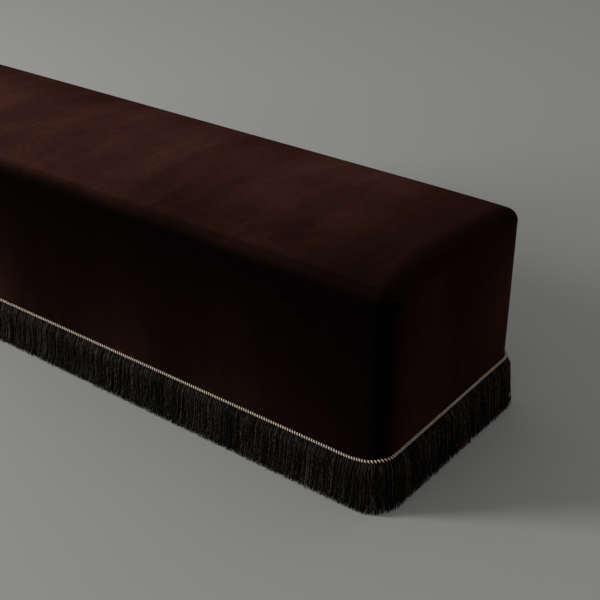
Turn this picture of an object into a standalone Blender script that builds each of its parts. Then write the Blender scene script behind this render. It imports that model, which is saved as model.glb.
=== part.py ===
"""Long upholstered ottoman with a cord and a fringe, built as its separate pieces.

Units are metres and +Z is up. The floor is z = 0 and the origin is the middle of the footprint.
The length runs along X, the front faces -Y, the right end faces +X.
"""

import math
import random

import bmesh
import bpy

# Upholstered body, measured over the velvet
BODY_LENGTH = 1.700
BODY_DEPTH = 0.472
SEAT_HEIGHT = 0.450  # floor to the middle of the crowned top
CORNER_RADIUS = 0.036  # upright corners, in plan
EDGE_RADIUS = 0.018  # roll from the top into the sides
ROLL_MARGIN = 0.002  # the roll stays this much tighter than the upright corners
CROWN = 0.008  # fall of the top from its middle to its edges
END_DROOP = 0.008  # further fall of the top and its edges towards the two ends
DROOP_POWER = 9  # how late along the length that fall begins
END_LOOPS = (0.05, 0.10, 0.20)  # distances from the ends of the lines where the top bends
DEPTH_LOOPS = 3  # lines along the top that follow the crown

# Clearances
FIT = 0.0003  # between pieces that touch
SOFT_FIT = 0.0006  # between padding and what it wraps
TRIM_FIT = 0.0006  # between the trim and the velvet
SEAM_GAP = 0.0010  # between the edges of two sewn velvet pieces

# Soft layers
COVER_T = 0.002  # velvet with its backing
PADDING_T = 0.010  # wadding
FOAM_T = 0.080  # at the middle of the seat
HESSIAN_T = 0.001
HESSIAN_INSET = 0.010  # from the edge of the foam
WEBBING_T = 0.0025
STRAP_WIDTH = 0.050
STRAP_END = 0.004  # strap ends stop this far inside the outer face of the rails
CROSS_STRAPS = 12
LONG_STRAPS = 3
HEM_WIDTH = 0.030  # velvet turned under the bottom rails
DUST_T = 0.001
DUST_INSET = 0.012  # from the outside of the velvet

# Timber frame
PANEL_T = 0.004
POST_SIDE = 0.055
RAIL_T = 0.028
RAIL_H = 0.070
STUD_WIDTH = 0.045
STUDS = 2  # on each long side
CROSS_RAIL_T = 0.028
CROSS_RAIL_H = 0.045
CROSS_RAIL_STEP = 0.010  # between a stud and the cross rail beside it
TENON_T = 0.012
TENON_LENGTH = 0.014
BLOCK_T = 0.032
BLOCK_LEG = 0.090  # along each rail, from the post

# Feet and their fixings
FOOT_H = 0.054
FOOT_TOP_RADIUS = 0.024
FOOT_LOW_RADIUS = 0.019
FOOT_COLLAR = 0.010  # straight band at the top of the foot
FOOT_FROM_POST = 0.021  # foot axis, inside the inner corner of the post
BOLT_RADIUS = 0.004
BOLT_IN_FOOT = 0.030
BOLT_PROUD = 0.004  # above the T-nut
TNUT_RADIUS = 0.0055
TNUT_BARREL = 0.012
TNUT_FLANGE_RADIUS = 0.011
TNUT_FLANGE_T = 0.0015
GLIDE_RADIUS = 0.015
GLIDE_T = 0.006
GLIDE_EDGE = 0.0015
GLIDE_PIN_RADIUS = 0.0015
GLIDE_PIN = 0.012

# Cord and fringe
CORD_DIAMETER = 0.0065
CORD_Z = 0.0945  # height of the cord's middle along the front
TRIM_RISE = 0.015  # the trim runs this much higher along the ends and the back
RISE_SPREAD = 0.120  # the climb starts and ends this far from the middle of a front corner
HEADER_H = 0.014
HEADER_T = 0.010
STRAND_PITCH = 0.0106
STRAND_WIDTH = 0.0074
STRAND_SWING = 0.35  # sideways swing of a strand's end, as a part of the gap beside it
STRAND_UNEVEN = 0.004  # spread of the strands' lengths
FRINGE_SPLAY = 0.012  # outward lean of the strands from header to floor
FRINGE_CLEAR = 0.002  # shortest distance from a strand's end to the floor
STRAND_SEED = 7

# Smoothness
ARC_STEPS = 5  # facets in a quarter turn of the body
ROUND_STEPS = 16  # facets in a full turn of the feet and fixings
CORD_ARC_STEPS = 4  # steps of the cord in half a corner's arc
CORD_RISE_STEPS = 6  # steps of the cord from there to where its climb starts
MERGE = 0.00005

# Layers counted inwards from the outside of the velvet
PADDING_IN = COVER_T + SOFT_FIT
PANEL_IN = PADDING_IN + PADDING_T + SOFT_FIT
RAIL_IN = PANEL_IN + PANEL_T + FIT
RAIL_BACK = RAIL_IN + RAIL_T
POST_BACK = PANEL_IN + POST_SIDE
ROLL_RADIUS = min(EDGE_RADIUS, CORNER_RADIUS - ROLL_MARGIN)
SEAM_HEIGHT = SEAT_HEIGHT - CROWN - END_DROOP - ROLL_RADIUS  # top of the end panels

# Heights, from the floor up and from the seat down
FOOT_LOW = GLIDE_T + FIT
FOOT_HIGH = FOOT_LOW + FOOT_H
FRAME_LOW = FOOT_HIGH + FIT
COVER_LOW = FRAME_LOW - FIT - COVER_T
DUST_HIGH = COVER_LOW - FIT
FOAM_HIGH = SEAT_HEIGHT - PANEL_IN
FOAM_LOW = FOAM_HIGH - FOAM_T
HESSIAN_HIGH = FOAM_LOW - FIT
WEBBING_HIGH = HESSIAN_HIGH - HESSIAN_T - FIT
WEBBING_LOW = WEBBING_HIGH - WEBBING_T
FRAME_HIGH = WEBBING_LOW - FIT
BLOCK_HIGH = FRAME_LOW + BLOCK_T
HEADER_HIGH = CORD_Z - CORD_DIAMETER / 2 - FIT

# Places in plan
POST_X = BODY_LENGTH / 2 - PANEL_IN - POST_SIDE / 2
POST_Y = BODY_DEPTH / 2 - PANEL_IN - POST_SIDE / 2
LONG_RAIL_Y = BODY_DEPTH / 2 - RAIL_IN - RAIL_T / 2
END_RAIL_X = BODY_LENGTH / 2 - RAIL_IN - RAIL_T / 2
LONG_RAIL_LENGTH = BODY_LENGTH - 2 * (POST_BACK + FIT)
END_RAIL_LENGTH = BODY_DEPTH - 2 * (POST_BACK + FIT)
CROSS_RAIL_LENGTH = BODY_DEPTH - 2 * (RAIL_BACK + FIT)
FOOT_X = BODY_LENGTH / 2 - POST_BACK - FOOT_FROM_POST
FOOT_Y = BODY_DEPTH / 2 - POST_BACK - FOOT_FROM_POST
LOW_RAIL_Z = FRAME_LOW + RAIL_H / 2
HIGH_RAIL_Z = FRAME_HIGH - RAIL_H / 2

SIDES_X = (("left", -1), ("right", 1))
SIDES_Y = (("front", -1), ("back", 1))
LEVELS = (("bottom", LOW_RAIL_Z), ("top", HIGH_RAIL_Z))

# Runs of the trim: name, turn about Z, length of that side, of the sides beside it, and which of the
# run's ends (-1 its start, 1 its end) lie at a front corner
TRIM_RUNS = (
    ("front", 0.0, BODY_LENGTH, BODY_DEPTH, (-1, 1)),
    ("right", math.pi / 2, BODY_DEPTH, BODY_LENGTH, (-1,)),
    ("back", math.pi, BODY_LENGTH, BODY_DEPTH, ()),
    ("left", -math.pi / 2, BODY_DEPTH, BODY_LENGTH, (1,)),
)

# Finishes: linear colour, roughness, metallic
FINISHES = {
    "velvet": ((0.022, 0.010, 0.008), 0.85, 0.0),
    "wadding": ((0.80, 0.80, 0.78), 0.95, 0.0),
    "foam": ((0.78, 0.70, 0.45), 0.90, 0.0),
    "hessian": ((0.42, 0.30, 0.17), 0.95, 0.0),
    "webbing": ((0.30, 0.21, 0.12), 0.90, 0.0),
    "dust_cloth": ((0.02, 0.02, 0.02), 0.90, 0.0),
    "softwood": ((0.55, 0.38, 0.21), 0.65, 0.0),
    "hardboard": ((0.24, 0.14, 0.07), 0.75, 0.0),
    "stained_wood": ((0.035, 0.016, 0.009), 0.45, 0.0),
    "nylon": ((0.30, 0.30, 0.29), 0.45, 0.0),
    "zinc": ((0.60, 0.60, 0.58), 0.35, 1.0),
    "trim_cord": ((0.58, 0.43, 0.31), 0.60, 0.0),
    "fringe": ((0.014, 0.011, 0.009), 0.60, 0.0),
}


class Workbench:
    """Holds the collections, the parent empty and the finishes that all the parts share."""

    def __init__(self):
        self.parts = self.new_collection("ottoman")
        self.cutters = self.new_collection("ottoman_cutters")
        self.root = bpy.data.objects.new("ottoman_root", None)
        self.parts.objects.link(self.root)
        self.finishes = {name: self.new_finish(name, *values) for name, values in FINISHES.items()}

    @staticmethod
    def new_collection(name):
        collection = bpy.data.collections.new(name)
        bpy.context.scene.collection.children.link(collection)
        return collection

    @staticmethod
    def new_finish(name, colour, roughness, metallic):
        material = bpy.data.materials.new(name)
        material.use_nodes = True
        shader = material.node_tree.nodes["Principled BSDF"]
        shader.inputs["Base Color"].default_value = (*colour, 1.0)
        shader.inputs["Roughness"].default_value = roughness
        shader.inputs["Metallic"].default_value = metallic
        material.diffuse_color = (*colour, 1.0)
        return material

    def place(self, name, data, finish, location=(0.0, 0.0, 0.0), turn=0.0):
        """Make a part from its mesh or curve, in its finish, hung on the ottoman's empty."""
        data.materials.append(self.finishes[finish])
        part = bpy.data.objects.new(name, data)
        part.location = location
        part.rotation_euler = (0.0, 0.0, turn)
        part.parent = self.root
        self.parts.objects.link(part)
        return part

    def cut(self, part, cutter_mesh):
        """Cut a part with the closed shapes of one mesh."""
        cutter = bpy.data.objects.new(part.name + "_cutter", cutter_mesh)
        cutter.hide_render = True
        cutter.display_type = "WIRE"
        self.cutters.objects.link(cutter)
        modifier = part.modifiers.new("Cut", "BOOLEAN")
        modifier.operation = "DIFFERENCE"
        modifier.object = cutter

    @staticmethod
    def thicken(part, thickness, outer=0.0):
        """Give a surface its wall, whose outer side lies a distance inside the surface."""
        modifier = part.modifiers.new("Wall", "SOLIDIFY")
        modifier.thickness = thickness
        modifier.offset = -1.0 - 2.0 * outer / thickness
        modifier.use_even_offset = True

    def turn(self, name, profile, finish, location):
        """Turn a profile of (radius, height) points round the Z axis."""
        mesh = bpy.data.meshes.new(name)
        mesh.from_pydata(
            [(radius, 0.0, height) for radius, height in profile],
            [(i, i + 1) for i in range(len(profile) - 1)],
            [],
        )
        part = self.place(name, mesh, finish, location)
        modifier = part.modifiers.new("Turn", "SCREW")
        modifier.steps = ROUND_STEPS
        modifier.render_steps = ROUND_STEPS
        modifier.use_merge_vertices = True
        modifier.merge_threshold = MERGE
        modifier.use_smooth_shade = False
        return part


def to_mesh(bm, name):
    """Store a bmesh as a mesh and free it."""
    mesh = bpy.data.meshes.new(name)
    bm.to_mesh(mesh)
    bm.free()
    return mesh


def add_box(bm, size, centre=(0.0, 0.0, 0.0)):
    """Add a box to a bmesh."""
    verts = bmesh.ops.create_cube(bm, size=1.0)["verts"]
    bmesh.ops.scale(bm, vec=size, verts=verts)
    bmesh.ops.translate(bm, vec=centre, verts=verts)


def boxes_mesh(name, boxes):
    """Mesh of separate boxes, each given as (size, centre)."""
    bm = bmesh.new()
    for size, centre in boxes:
        add_box(bm, size, centre)
    return to_mesh(bm, name)


def rods_mesh(name, rods):
    """Mesh of separate upright rods, each given as (radius, length, centre)."""
    bm = bmesh.new()
    for radius, length, centre in rods:
        rod = bmesh.ops.create_cone(
            bm, cap_ends=True, segments=ROUND_STEPS, radius1=radius, radius2=radius, depth=length
        )
        bmesh.ops.translate(bm, vec=centre, verts=rod["verts"])
    return to_mesh(bm, name)


def upright_edges(bm):
    return [e for e in bm.edges if abs(e.verts[0].co.z - e.verts[1].co.z) > MERGE]


def round_edges(bm, edges, radius):
    bmesh.ops.bevel(
        bm, geom=edges, offset=radius, offset_type="OFFSET", segments=ARC_STEPS, profile=0.5, affect="EDGES"
    )


def slab_mesh(name, length, depth, thickness, radius):
    """Flat slab with round upright corners, centred on its own origin."""
    bm = bmesh.new()
    add_box(bm, (length, depth, thickness))
    round_edges(bm, upright_edges(bm), radius)
    return to_mesh(bm, name)


def top_fall(x, y):
    """How far the crowned top lies below its middle, or the roll below the place where it starts."""
    x_past = max(abs(x) - BODY_LENGTH / 2 + CORNER_RADIUS, 0.0)
    y_past = max(abs(y) - BODY_DEPTH / 2 + CORNER_RADIUS, 0.0)
    kept = min((CORNER_RADIUS - ROLL_RADIUS) / max(math.hypot(x_past, y_past), MERGE), 1.0)
    along = (abs(x) - x_past * (1.0 - kept)) / (BODY_LENGTH / 2 - ROLL_RADIUS)
    across = (abs(y) - y_past * (1.0 - kept)) / (BODY_DEPTH / 2 - ROLL_RADIUS)
    late = along**DROOP_POWER
    return CROWN * (1.0 - (1.0 - late) * (1.0 - across**2)) + END_DROOP * late


def split(bm, point, normal):
    """Cut new edges across all the faces where a plane meets them."""
    geometry = bm.verts[:] + bm.edges[:] + bm.faces[:]
    bmesh.ops.bisect_plane(bm, geom=geometry, plane_co=point, plane_no=normal, dist=MERGE)


def crowned_box(inset, low, high, open_below):
    """Box with round upright corners and a crowned, rolled top, a distance inside the velvet."""
    bm = bmesh.new()
    size = (BODY_LENGTH - 2 * inset, BODY_DEPTH - 2 * inset, high - low)
    add_box(bm, size, (0.0, 0.0, (low + high) / 2))
    round_edges(bm, upright_edges(bm), CORNER_RADIUS - inset)
    roll = ROLL_RADIUS - inset
    rim = [e for e in bm.edges if min(v.co.z for v in e.verts) > high - MERGE]
    round_edges(bm, rim, roll)
    if open_below:
        floor = [f for f in bm.faces if f.normal.z < -0.5]
        bmesh.ops.delete(bm, geom=floor, context="FACES_ONLY")
    split(bm, (0.0, 0.0, 0.0), (1.0, 0.0, 0.0))
    for _, sign in SIDES_X:
        for distance in END_LOOPS:
            split(bm, (sign * (BODY_LENGTH / 2 - distance), 0.0, 0.0), (1.0, 0.0, 0.0))
    for i in range(DEPTH_LOOPS):
        y = BODY_DEPTH * ((i + 1) / (DEPTH_LOOPS + 1) - 0.5)
        split(bm, (0.0, y, 0.0), (0.0, 1.0, 0.0))
    for vert in bm.verts:
        if vert.co.z > high - roll - MERGE:
            vert.co.z -= top_fall(vert.co.x, vert.co.y)
    bmesh.ops.triangulate(bm, faces=bm.faces)
    return bm


def velvet_surface():
    """Outside of the whole velvet cover, with its hem turned under the rails."""
    bm = crowned_box(0.0, COVER_LOW, SEAT_HEIGHT, open_below=True)
    rim = [e for e in bm.edges if e.is_boundary]
    new = bmesh.ops.extrude_edge_only(bm, edges=rim)["geom"]
    x_limit = BODY_LENGTH / 2 - HEM_WIDTH
    y_limit = BODY_DEPTH / 2 - HEM_WIDTH
    for vert in (item for item in new if isinstance(item, bmesh.types.BMVert)):
        vert.co.x = min(max(vert.co.x, -x_limit), x_limit)
        vert.co.y = min(max(vert.co.y, -y_limit), y_limit)
    bmesh.ops.remove_doubles(bm, verts=bm.verts, dist=MERGE)
    return bm


def on_end_panel(face, sign):
    """Whether a face of the velvet belongs to the end panel on one side."""
    centre = face.calc_center_median()
    beyond = sign * centre.x > BODY_LENGTH / 2 - HEM_WIDTH - MERGE
    between = abs(centre.y) < BODY_DEPTH / 2 - CORNER_RADIUS
    below = centre.z < SEAM_HEIGHT
    return beyond and between and below


def make_cover(bench):
    """Velvet: one piece over front, top and back, and a panel sewn in at each end."""
    main = velvet_surface()
    ends = [f for f in main.faces if on_end_panel(f, -1) or on_end_panel(f, 1)]
    bmesh.ops.delete(main, geom=ends, context="FACES")
    part = bench.place("cover_main", to_mesh(main, "cover_main"), "velvet")
    part.data.shade_smooth()
    bench.thicken(part, COVER_T)
    seam_y = BODY_DEPTH / 2 - CORNER_RADIUS
    for side, sign in SIDES_X:
        panel = velvet_surface()
        others = [f for f in panel.faces if not on_end_panel(f, sign)]
        bmesh.ops.delete(panel, geom=others, context="FACES")
        for vert in panel.verts:
            vert.co.y *= 1.0 - SEAM_GAP / seam_y
            vert.co.z -= SEAM_GAP * (vert.co.z - COVER_LOW) / (SEAM_HEIGHT - COVER_LOW)
        name = "cover_end_" + side
        part = bench.place(name, to_mesh(panel, name), "velvet")
        bench.thicken(part, COVER_T)


def make_padding(bench):
    """Foam slab on the seat, and wadding over it and down the sides."""
    wadding = crowned_box(0.0, FRAME_LOW, SEAT_HEIGHT, open_below=True)
    part = bench.place("wadding_wrap", to_mesh(wadding, "wadding_wrap"), "wadding")
    bench.thicken(part, PADDING_T, PADDING_IN)
    foam = crowned_box(PANEL_IN, FOAM_LOW, FOAM_HIGH, open_below=False)
    part = bench.place("seat_foam", to_mesh(foam, "seat_foam"), "foam")
    part.data.shade_smooth()


def strap_edges(half, straps):
    """Places along one axis where evenly spaced straps begin and end, with both outer ends."""
    pitch = 2 * half / straps
    edges = [-half]
    for i in range(straps):
        middle = -half + pitch * (i + 0.5)
        edges += [middle - STRAP_WIDTH / 2, middle + STRAP_WIDTH / 2]
    return edges + [half]


def make_webbing(bench):
    """Lattice of webbing straps over the top of the frame, open between the straps."""
    x_edges = strap_edges(BODY_LENGTH / 2 - RAIL_IN - STRAP_END, CROSS_STRAPS)
    y_edges = strap_edges(BODY_DEPTH / 2 - RAIL_IN - STRAP_END, LONG_STRAPS)
    columns = len(x_edges) - 1
    rows = len(y_edges) - 1
    bm = bmesh.new()
    bmesh.ops.create_grid(bm, x_segments=columns, y_segments=rows, size=0.5)
    gaps = []
    for face in bm.faces:
        centre = face.calc_center_median()
        column = int((centre.x + 0.5) * columns)
        row = int((centre.y + 0.5) * rows)
        if column % 2 == 0 and row % 2 == 0:
            gaps.append(face)
    for vert in bm.verts:
        vert.co.x = x_edges[round((vert.co.x + 0.5) * columns)]
        vert.co.y = y_edges[round((vert.co.y + 0.5) * rows)]
    bmesh.ops.delete(bm, geom=gaps, context="FACES")
    part = bench.place("seat_webbing", to_mesh(bm, "seat_webbing"), "webbing", (0.0, 0.0, WEBBING_HIGH))
    bench.thicken(part, WEBBING_T)


def make_sheets(bench):
    """Hessian over the webbing, and the dust cover under the frame with holes for the feet."""
    inset = PANEL_IN + HESSIAN_INSET
    hessian = slab_mesh(
        "seat_hessian", BODY_LENGTH - 2 * inset, BODY_DEPTH - 2 * inset, HESSIAN_T, CORNER_RADIUS - inset
    )
    bench.place("seat_hessian", hessian, "hessian", (0.0, 0.0, HESSIAN_HIGH - HESSIAN_T / 2))
    dust = slab_mesh(
        "dust_cover", BODY_LENGTH - 2 * DUST_INSET, BODY_DEPTH - 2 * DUST_INSET, DUST_T,
        CORNER_RADIUS - DUST_INSET,
    )
    dust_z = DUST_HIGH - DUST_T / 2
    part = bench.place("dust_cover", dust, "dust_cloth", (0.0, 0.0, dust_z))
    holes = [
        (FOOT_TOP_RADIUS + FIT, 4 * DUST_T, (x * FOOT_X, y * FOOT_Y, dust_z))
        for _, x in SIDES_X
        for _, y in SIDES_Y
    ]
    bench.cut(part, rods_mesh("dust_cover_holes", holes))


def tenoned_mesh(name, size, axis):
    """Timber of a size, with a stub tenon on both ends along one axis (0, 1 or 2)."""
    bm = bmesh.new()
    add_box(bm, size)
    ends = [f for f in bm.faces if abs(f.normal[axis]) > 0.5]
    thin_side = min(size[i] for i in range(3) if i != axis)
    shoulder = (thin_side - TENON_T) / 2
    bmesh.ops.inset_individual(bm, faces=ends, thickness=shoulder, use_even_offset=True)
    tenons = bmesh.ops.extrude_discrete_faces(bm, faces=ends)["faces"]
    for face in tenons:
        bmesh.ops.translate(bm, vec=face.normal * TENON_LENGTH, verts=face.verts)
    return to_mesh(bm, name)


def mortise(section, axis, centre):
    """Box (size, centre) that cuts a mortise for a timber's tenon into the face at the centre."""
    thin_side = min(section)
    shoulder = (thin_side - TENON_T) / 2
    size = [side - 2 * shoulder + 2 * FIT for side in section]
    size.insert(axis, 2 * TENON_LENGTH)
    return tuple(size), centre


def stud_places():
    """X of the studs along the long rails, and of the cross rail beside each, nearer the middle."""
    spacing = LONG_RAIL_LENGTH / (STUDS + 1)
    aside = STUD_WIDTH / 2 + CROSS_RAIL_STEP + CROSS_RAIL_T / 2
    places = []
    for i in range(STUDS):
        stud = spacing * (i + 1) - LONG_RAIL_LENGTH / 2
        places.append((stud, stud - math.copysign(aside, stud)))
    return places


def make_long_rails(bench):
    """Rails along the front and back, mortised for the studs and the cross rails."""
    for level, z in LEVELS:
        inward = 1 if level == "bottom" else -1
        for side, sign in SIDES_Y:
            name = "rail_" + level + "_" + side
            y = sign * LONG_RAIL_Y
            mesh = tenoned_mesh(name, (LONG_RAIL_LENGTH, RAIL_T, RAIL_H), 0)
            part = bench.place(name, mesh, "softwood", (0.0, y, z))
            cuts = []
            for stud_x, cross_x in stud_places():
                stud_face = (stud_x, y, z + inward * RAIL_H / 2)
                cross_face = (cross_x, y - sign * RAIL_T / 2, z)
                cuts.append(mortise((STUD_WIDTH, RAIL_T), 2, stud_face))
                cuts.append(mortise((CROSS_RAIL_T, CROSS_RAIL_H), 1, cross_face))
            bench.cut(part, boxes_mesh(name + "_mortises", cuts))


def make_cross_timber(bench):
    """Rails at the two ends, cross rails between the long rails, and studs between the levels."""
    for level, z in LEVELS:
        for side, sign in SIDES_X:
            name = "rail_" + level + "_" + side
            mesh = tenoned_mesh(name, (RAIL_T, END_RAIL_LENGTH, RAIL_H), 1)
            bench.place(name, mesh, "softwood", (sign * END_RAIL_X, 0.0, z))
        for i, (_, cross_x) in enumerate(stud_places()):
            name = f"cross_rail_{level}_{i + 1}"
            mesh = tenoned_mesh(name, (CROSS_RAIL_T, CROSS_RAIL_LENGTH, CROSS_RAIL_H), 1)
            bench.place(name, mesh, "softwood", (cross_x, 0.0, z))
    stud_length = HIGH_RAIL_Z - LOW_RAIL_Z - RAIL_H - 2 * FIT
    for side, sign in SIDES_Y:
        for i, (stud_x, _) in enumerate(stud_places()):
            name = f"stud_{side}_{i + 1}"
            mesh = tenoned_mesh(name, (STUD_WIDTH, RAIL_T, stud_length), 2)
            place = (stud_x, sign * LONG_RAIL_Y, (LOW_RAIL_Z + HIGH_RAIL_Z) / 2)
            bench.place(name, mesh, "softwood", place)


def post_mesh(name, x_sign, y_sign):
    """Corner post with its outer upright edge rounded to follow the padding."""
    bm = bmesh.new()
    add_box(bm, (POST_SIDE, POST_SIDE, FRAME_HIGH - FRAME_LOW))
    outer = [
        e for e in upright_edges(bm)
        if all(v.co.x * x_sign > 0 and v.co.y * y_sign > 0 for v in e.verts)
    ]
    round_edges(bm, outer, CORNER_RADIUS - PANEL_IN)
    return to_mesh(bm, name)


def make_posts(bench):
    """Corner posts, mortised for the four rails that meet in each."""
    for end, x_sign in SIDES_X:
        for side, y_sign in SIDES_Y:
            name = f"post_{side}_{end}"
            x = x_sign * POST_X
            y = y_sign * POST_Y
            mesh = post_mesh(name, x_sign, y_sign)
            part = bench.place(name, mesh, "softwood", (x, y, (FRAME_LOW + FRAME_HIGH) / 2))
            cuts = []
            for _, z in LEVELS:
                long_face = (x - x_sign * POST_SIDE / 2, y_sign * LONG_RAIL_Y, z)
                end_face = (x_sign * END_RAIL_X, y - y_sign * POST_SIDE / 2, z)
                cuts.append(mortise((RAIL_T, RAIL_H), 0, long_face))
                cuts.append(mortise((RAIL_T, RAIL_H), 1, end_face))
            bench.cut(part, boxes_mesh(name + "_mortises", cuts))


def make_panels(bench):
    """Thin boards nailed to the rails between the posts, on all four sides."""
    height = FRAME_HIGH - FRAME_LOW
    middle = (FRAME_LOW + FRAME_HIGH) / 2
    for side, sign in SIDES_Y:
        name = "panel_" + side
        y = sign * (BODY_DEPTH / 2 - PANEL_IN - PANEL_T / 2)
        mesh = boxes_mesh(name, [((LONG_RAIL_LENGTH, PANEL_T, height), (0.0, 0.0, 0.0))])
        bench.place(name, mesh, "hardboard", (0.0, y, middle))
    for side, sign in SIDES_X:
        name = "panel_" + side
        x = sign * (BODY_LENGTH / 2 - PANEL_IN - PANEL_T / 2)
        mesh = boxes_mesh(name, [((PANEL_T, END_RAIL_LENGTH, height), (0.0, 0.0, 0.0))])
        bench.place(name, mesh, "hardboard", (x, 0.0, middle))


def block_curve(name, x_sign, y_sign):
    """Outline of a corner block: along both rails, round the post, with its inner corner cut off."""
    rail = RAIL_BACK + FIT
    post = POST_BACK + FIT
    reach = POST_BACK + BLOCK_LEG
    outline = ((rail, post), (post, post), (post, rail), (reach, rail), (rail, reach))
    curve = bpy.data.curves.new(name, "CURVE")
    curve.dimensions = "2D"
    curve.fill_mode = "BOTH"
    curve.extrude = BLOCK_T / 2
    spline = curve.splines.new("POLY")
    spline.points.add(len(outline) - 1)
    spline.use_cyclic_u = True
    for point, (x_in, y_in) in zip(spline.points, outline):
        point.co = (x_sign * (BODY_LENGTH / 2 - x_in), y_sign * (BODY_DEPTH / 2 - y_in), 0.0, 1.0)
    return curve


def curve_to_mesh(curve, name):
    """Closed mesh of a curve, with its caps welded on."""
    guide = bpy.data.objects.new(name + "_outline", curve)
    bpy.context.scene.collection.objects.link(guide)
    evaluated = guide.evaluated_get(bpy.context.evaluated_depsgraph_get())
    mesh = bpy.data.meshes.new_from_object(evaluated)
    bpy.data.objects.remove(guide)
    bm = bmesh.new()
    bm.from_mesh(mesh)
    bmesh.ops.remove_doubles(bm, verts=bm.verts, dist=MERGE)
    bmesh.ops.recalc_face_normals(bm, faces=bm.faces)
    bpy.data.meshes.remove(mesh)
    return to_mesh(bm, name)


def foot_profile():
    """Tapered foot with a blind hole for its bolt above and one for the glide's pin below."""
    bolt = BOLT_RADIUS + FIT
    pin = GLIDE_PIN_RADIUS + FIT
    return (
        (0.0, FOOT_H - BOLT_IN_FOOT),
        (bolt, FOOT_H - BOLT_IN_FOOT),
        (bolt, FOOT_H),
        (FOOT_TOP_RADIUS, FOOT_H),
        (FOOT_TOP_RADIUS, FOOT_H - FOOT_COLLAR),
        (FOOT_LOW_RADIUS, 0.0),
        (pin, 0.0),
        (pin, GLIDE_PIN),
        (0.0, GLIDE_PIN),
    )


def glide_profile():
    """Nylon disc with a pin that is driven into the foot."""
    return (
        (0.0, GLIDE_T + GLIDE_PIN),
        (GLIDE_PIN_RADIUS, GLIDE_T + GLIDE_PIN),
        (GLIDE_PIN_RADIUS, GLIDE_T),
        (GLIDE_RADIUS, GLIDE_T),
        (GLIDE_RADIUS, GLIDE_EDGE),
        (GLIDE_RADIUS - GLIDE_EDGE, 0.0),
        (0.0, 0.0),
    )


def tnut_profile():
    """Flange on top of the block and barrel down into it, bored for the bolt."""
    bore = BOLT_RADIUS + FIT
    return (
        (bore, TNUT_FLANGE_T),
        (TNUT_FLANGE_RADIUS, TNUT_FLANGE_T),
        (TNUT_FLANGE_RADIUS, 0.0),
        (TNUT_RADIUS, 0.0),
        (TNUT_RADIUS, -TNUT_BARREL),
        (bore, -TNUT_BARREL),
        (bore, TNUT_FLANGE_T),
    )


def make_feet(bench):
    """Corner blocks with the feet bolted up into them, and a glide under each foot."""
    tnut_z = BLOCK_HIGH + FIT
    bolt_low = FOOT_HIGH - BOLT_IN_FOOT + FIT
    bolt_high = tnut_z + TNUT_FLANGE_T + BOLT_PROUD
    for end, x_sign in SIDES_X:
        for side, y_sign in SIDES_Y:
            where = f"_{side}_{end}"
            x = x_sign * FOOT_X
            y = y_sign * FOOT_Y
            block_z = FRAME_LOW + BLOCK_T / 2
            outline = block_curve("corner_block" + where, x_sign, y_sign)
            mesh = curve_to_mesh(outline, "corner_block" + where)
            block = bench.place("corner_block" + where, mesh, "softwood", (0.0, 0.0, block_z))
            hole = rods_mesh("bolt_hole" + where, [(TNUT_RADIUS + FIT, 2 * BLOCK_T, (x, y, block_z))])
            bench.cut(block, hole)
            bench.turn("foot" + where, foot_profile(), "stained_wood", (x, y, FOOT_LOW))
            bench.turn("glide" + where, glide_profile(), "nylon", (x, y, 0.0))
            bench.turn("tnut" + where, tnut_profile(), "zinc", (x, y, tnut_z))
            bolt = rods_mesh("foot_bolt" + where, [(BOLT_RADIUS, bolt_high - bolt_low, (0.0, 0.0, 0.0))])
            bench.place("foot_bolt" + where, bolt, "zinc", (x, y, (bolt_low + bolt_high) / 2))


def run_length(side):
    """Length of one run of trim on the velvet, with half of each corner's arc."""
    return side - 2 * CORNER_RADIUS + CORNER_RADIUS * math.pi / 2


def run_point(along, out, side, across):
    """Plan place of a point a distance along a run from its middle, and out from the velvet."""
    straight = side / 2 - CORNER_RADIUS
    angle = max(abs(along) - straight, 0.0) / CORNER_RADIUS
    reach = CORNER_RADIUS + out
    x = math.copysign(min(abs(along), straight) + reach * math.sin(angle), along)
    y = CORNER_RADIUS - across / 2 - reach * math.cos(angle)
    return x, y


def trim_rise(along, side, fronts):
    """How far the trim lies above its run along the front: half its rise at the middle of a front corner."""
    half = run_length(side) / 2
    past = min([1.0] + [(half - end * along) / RISE_SPREAD for end in fronts])
    share = (1.0 - past) / 2 if len(fronts) == 2 else (1.0 + past) / 2
    return TRIM_RISE * share**2 * (3.0 - 2.0 * share)


def cord_stations(side):
    """Places along a run of the cord's points: round both corners and along the climbs to them."""
    half = run_length(side) / 2
    arc = CORNER_RADIUS * math.pi / 4
    climb = max(RISE_SPREAD - arc, 0.0)
    places = [-half + arc * i / CORD_ARC_STEPS for i in range(CORD_ARC_STEPS + 1)]
    places += [-half + arc + climb * (i + 1) / CORD_RISE_STEPS for i in range(CORD_RISE_STEPS)]
    return places + [-place for place in reversed(places[1:])]


def make_cord(bench):
    """Twisted cord along the top of the fringe, as one closed ring."""
    out = TRIM_FIT + CORD_DIAMETER / 2
    points = []
    for _, turn, side, across, fronts in TRIM_RUNS:
        for along in cord_stations(side):
            x, y = run_point(along, out, side, across)
            points.append((
                x * math.cos(turn) - y * math.sin(turn),
                x * math.sin(turn) + y * math.cos(turn),
                CORD_Z + trim_rise(along, side, fronts),
                1.0,
            ))
    curve = bpy.data.curves.new("trim_cord", "CURVE")
    curve.dimensions = "3D"
    curve.bevel_depth = CORD_DIAMETER / 2
    curve.bevel_resolution = 2
    spline = curve.splines.new("POLY")
    spline.points.add(len(points) - 1)
    spline.use_cyclic_u = True
    for point, place in zip(spline.points, points):
        point.co = place
    bench.place("trim_cord", curve, "trim_cord")


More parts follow.
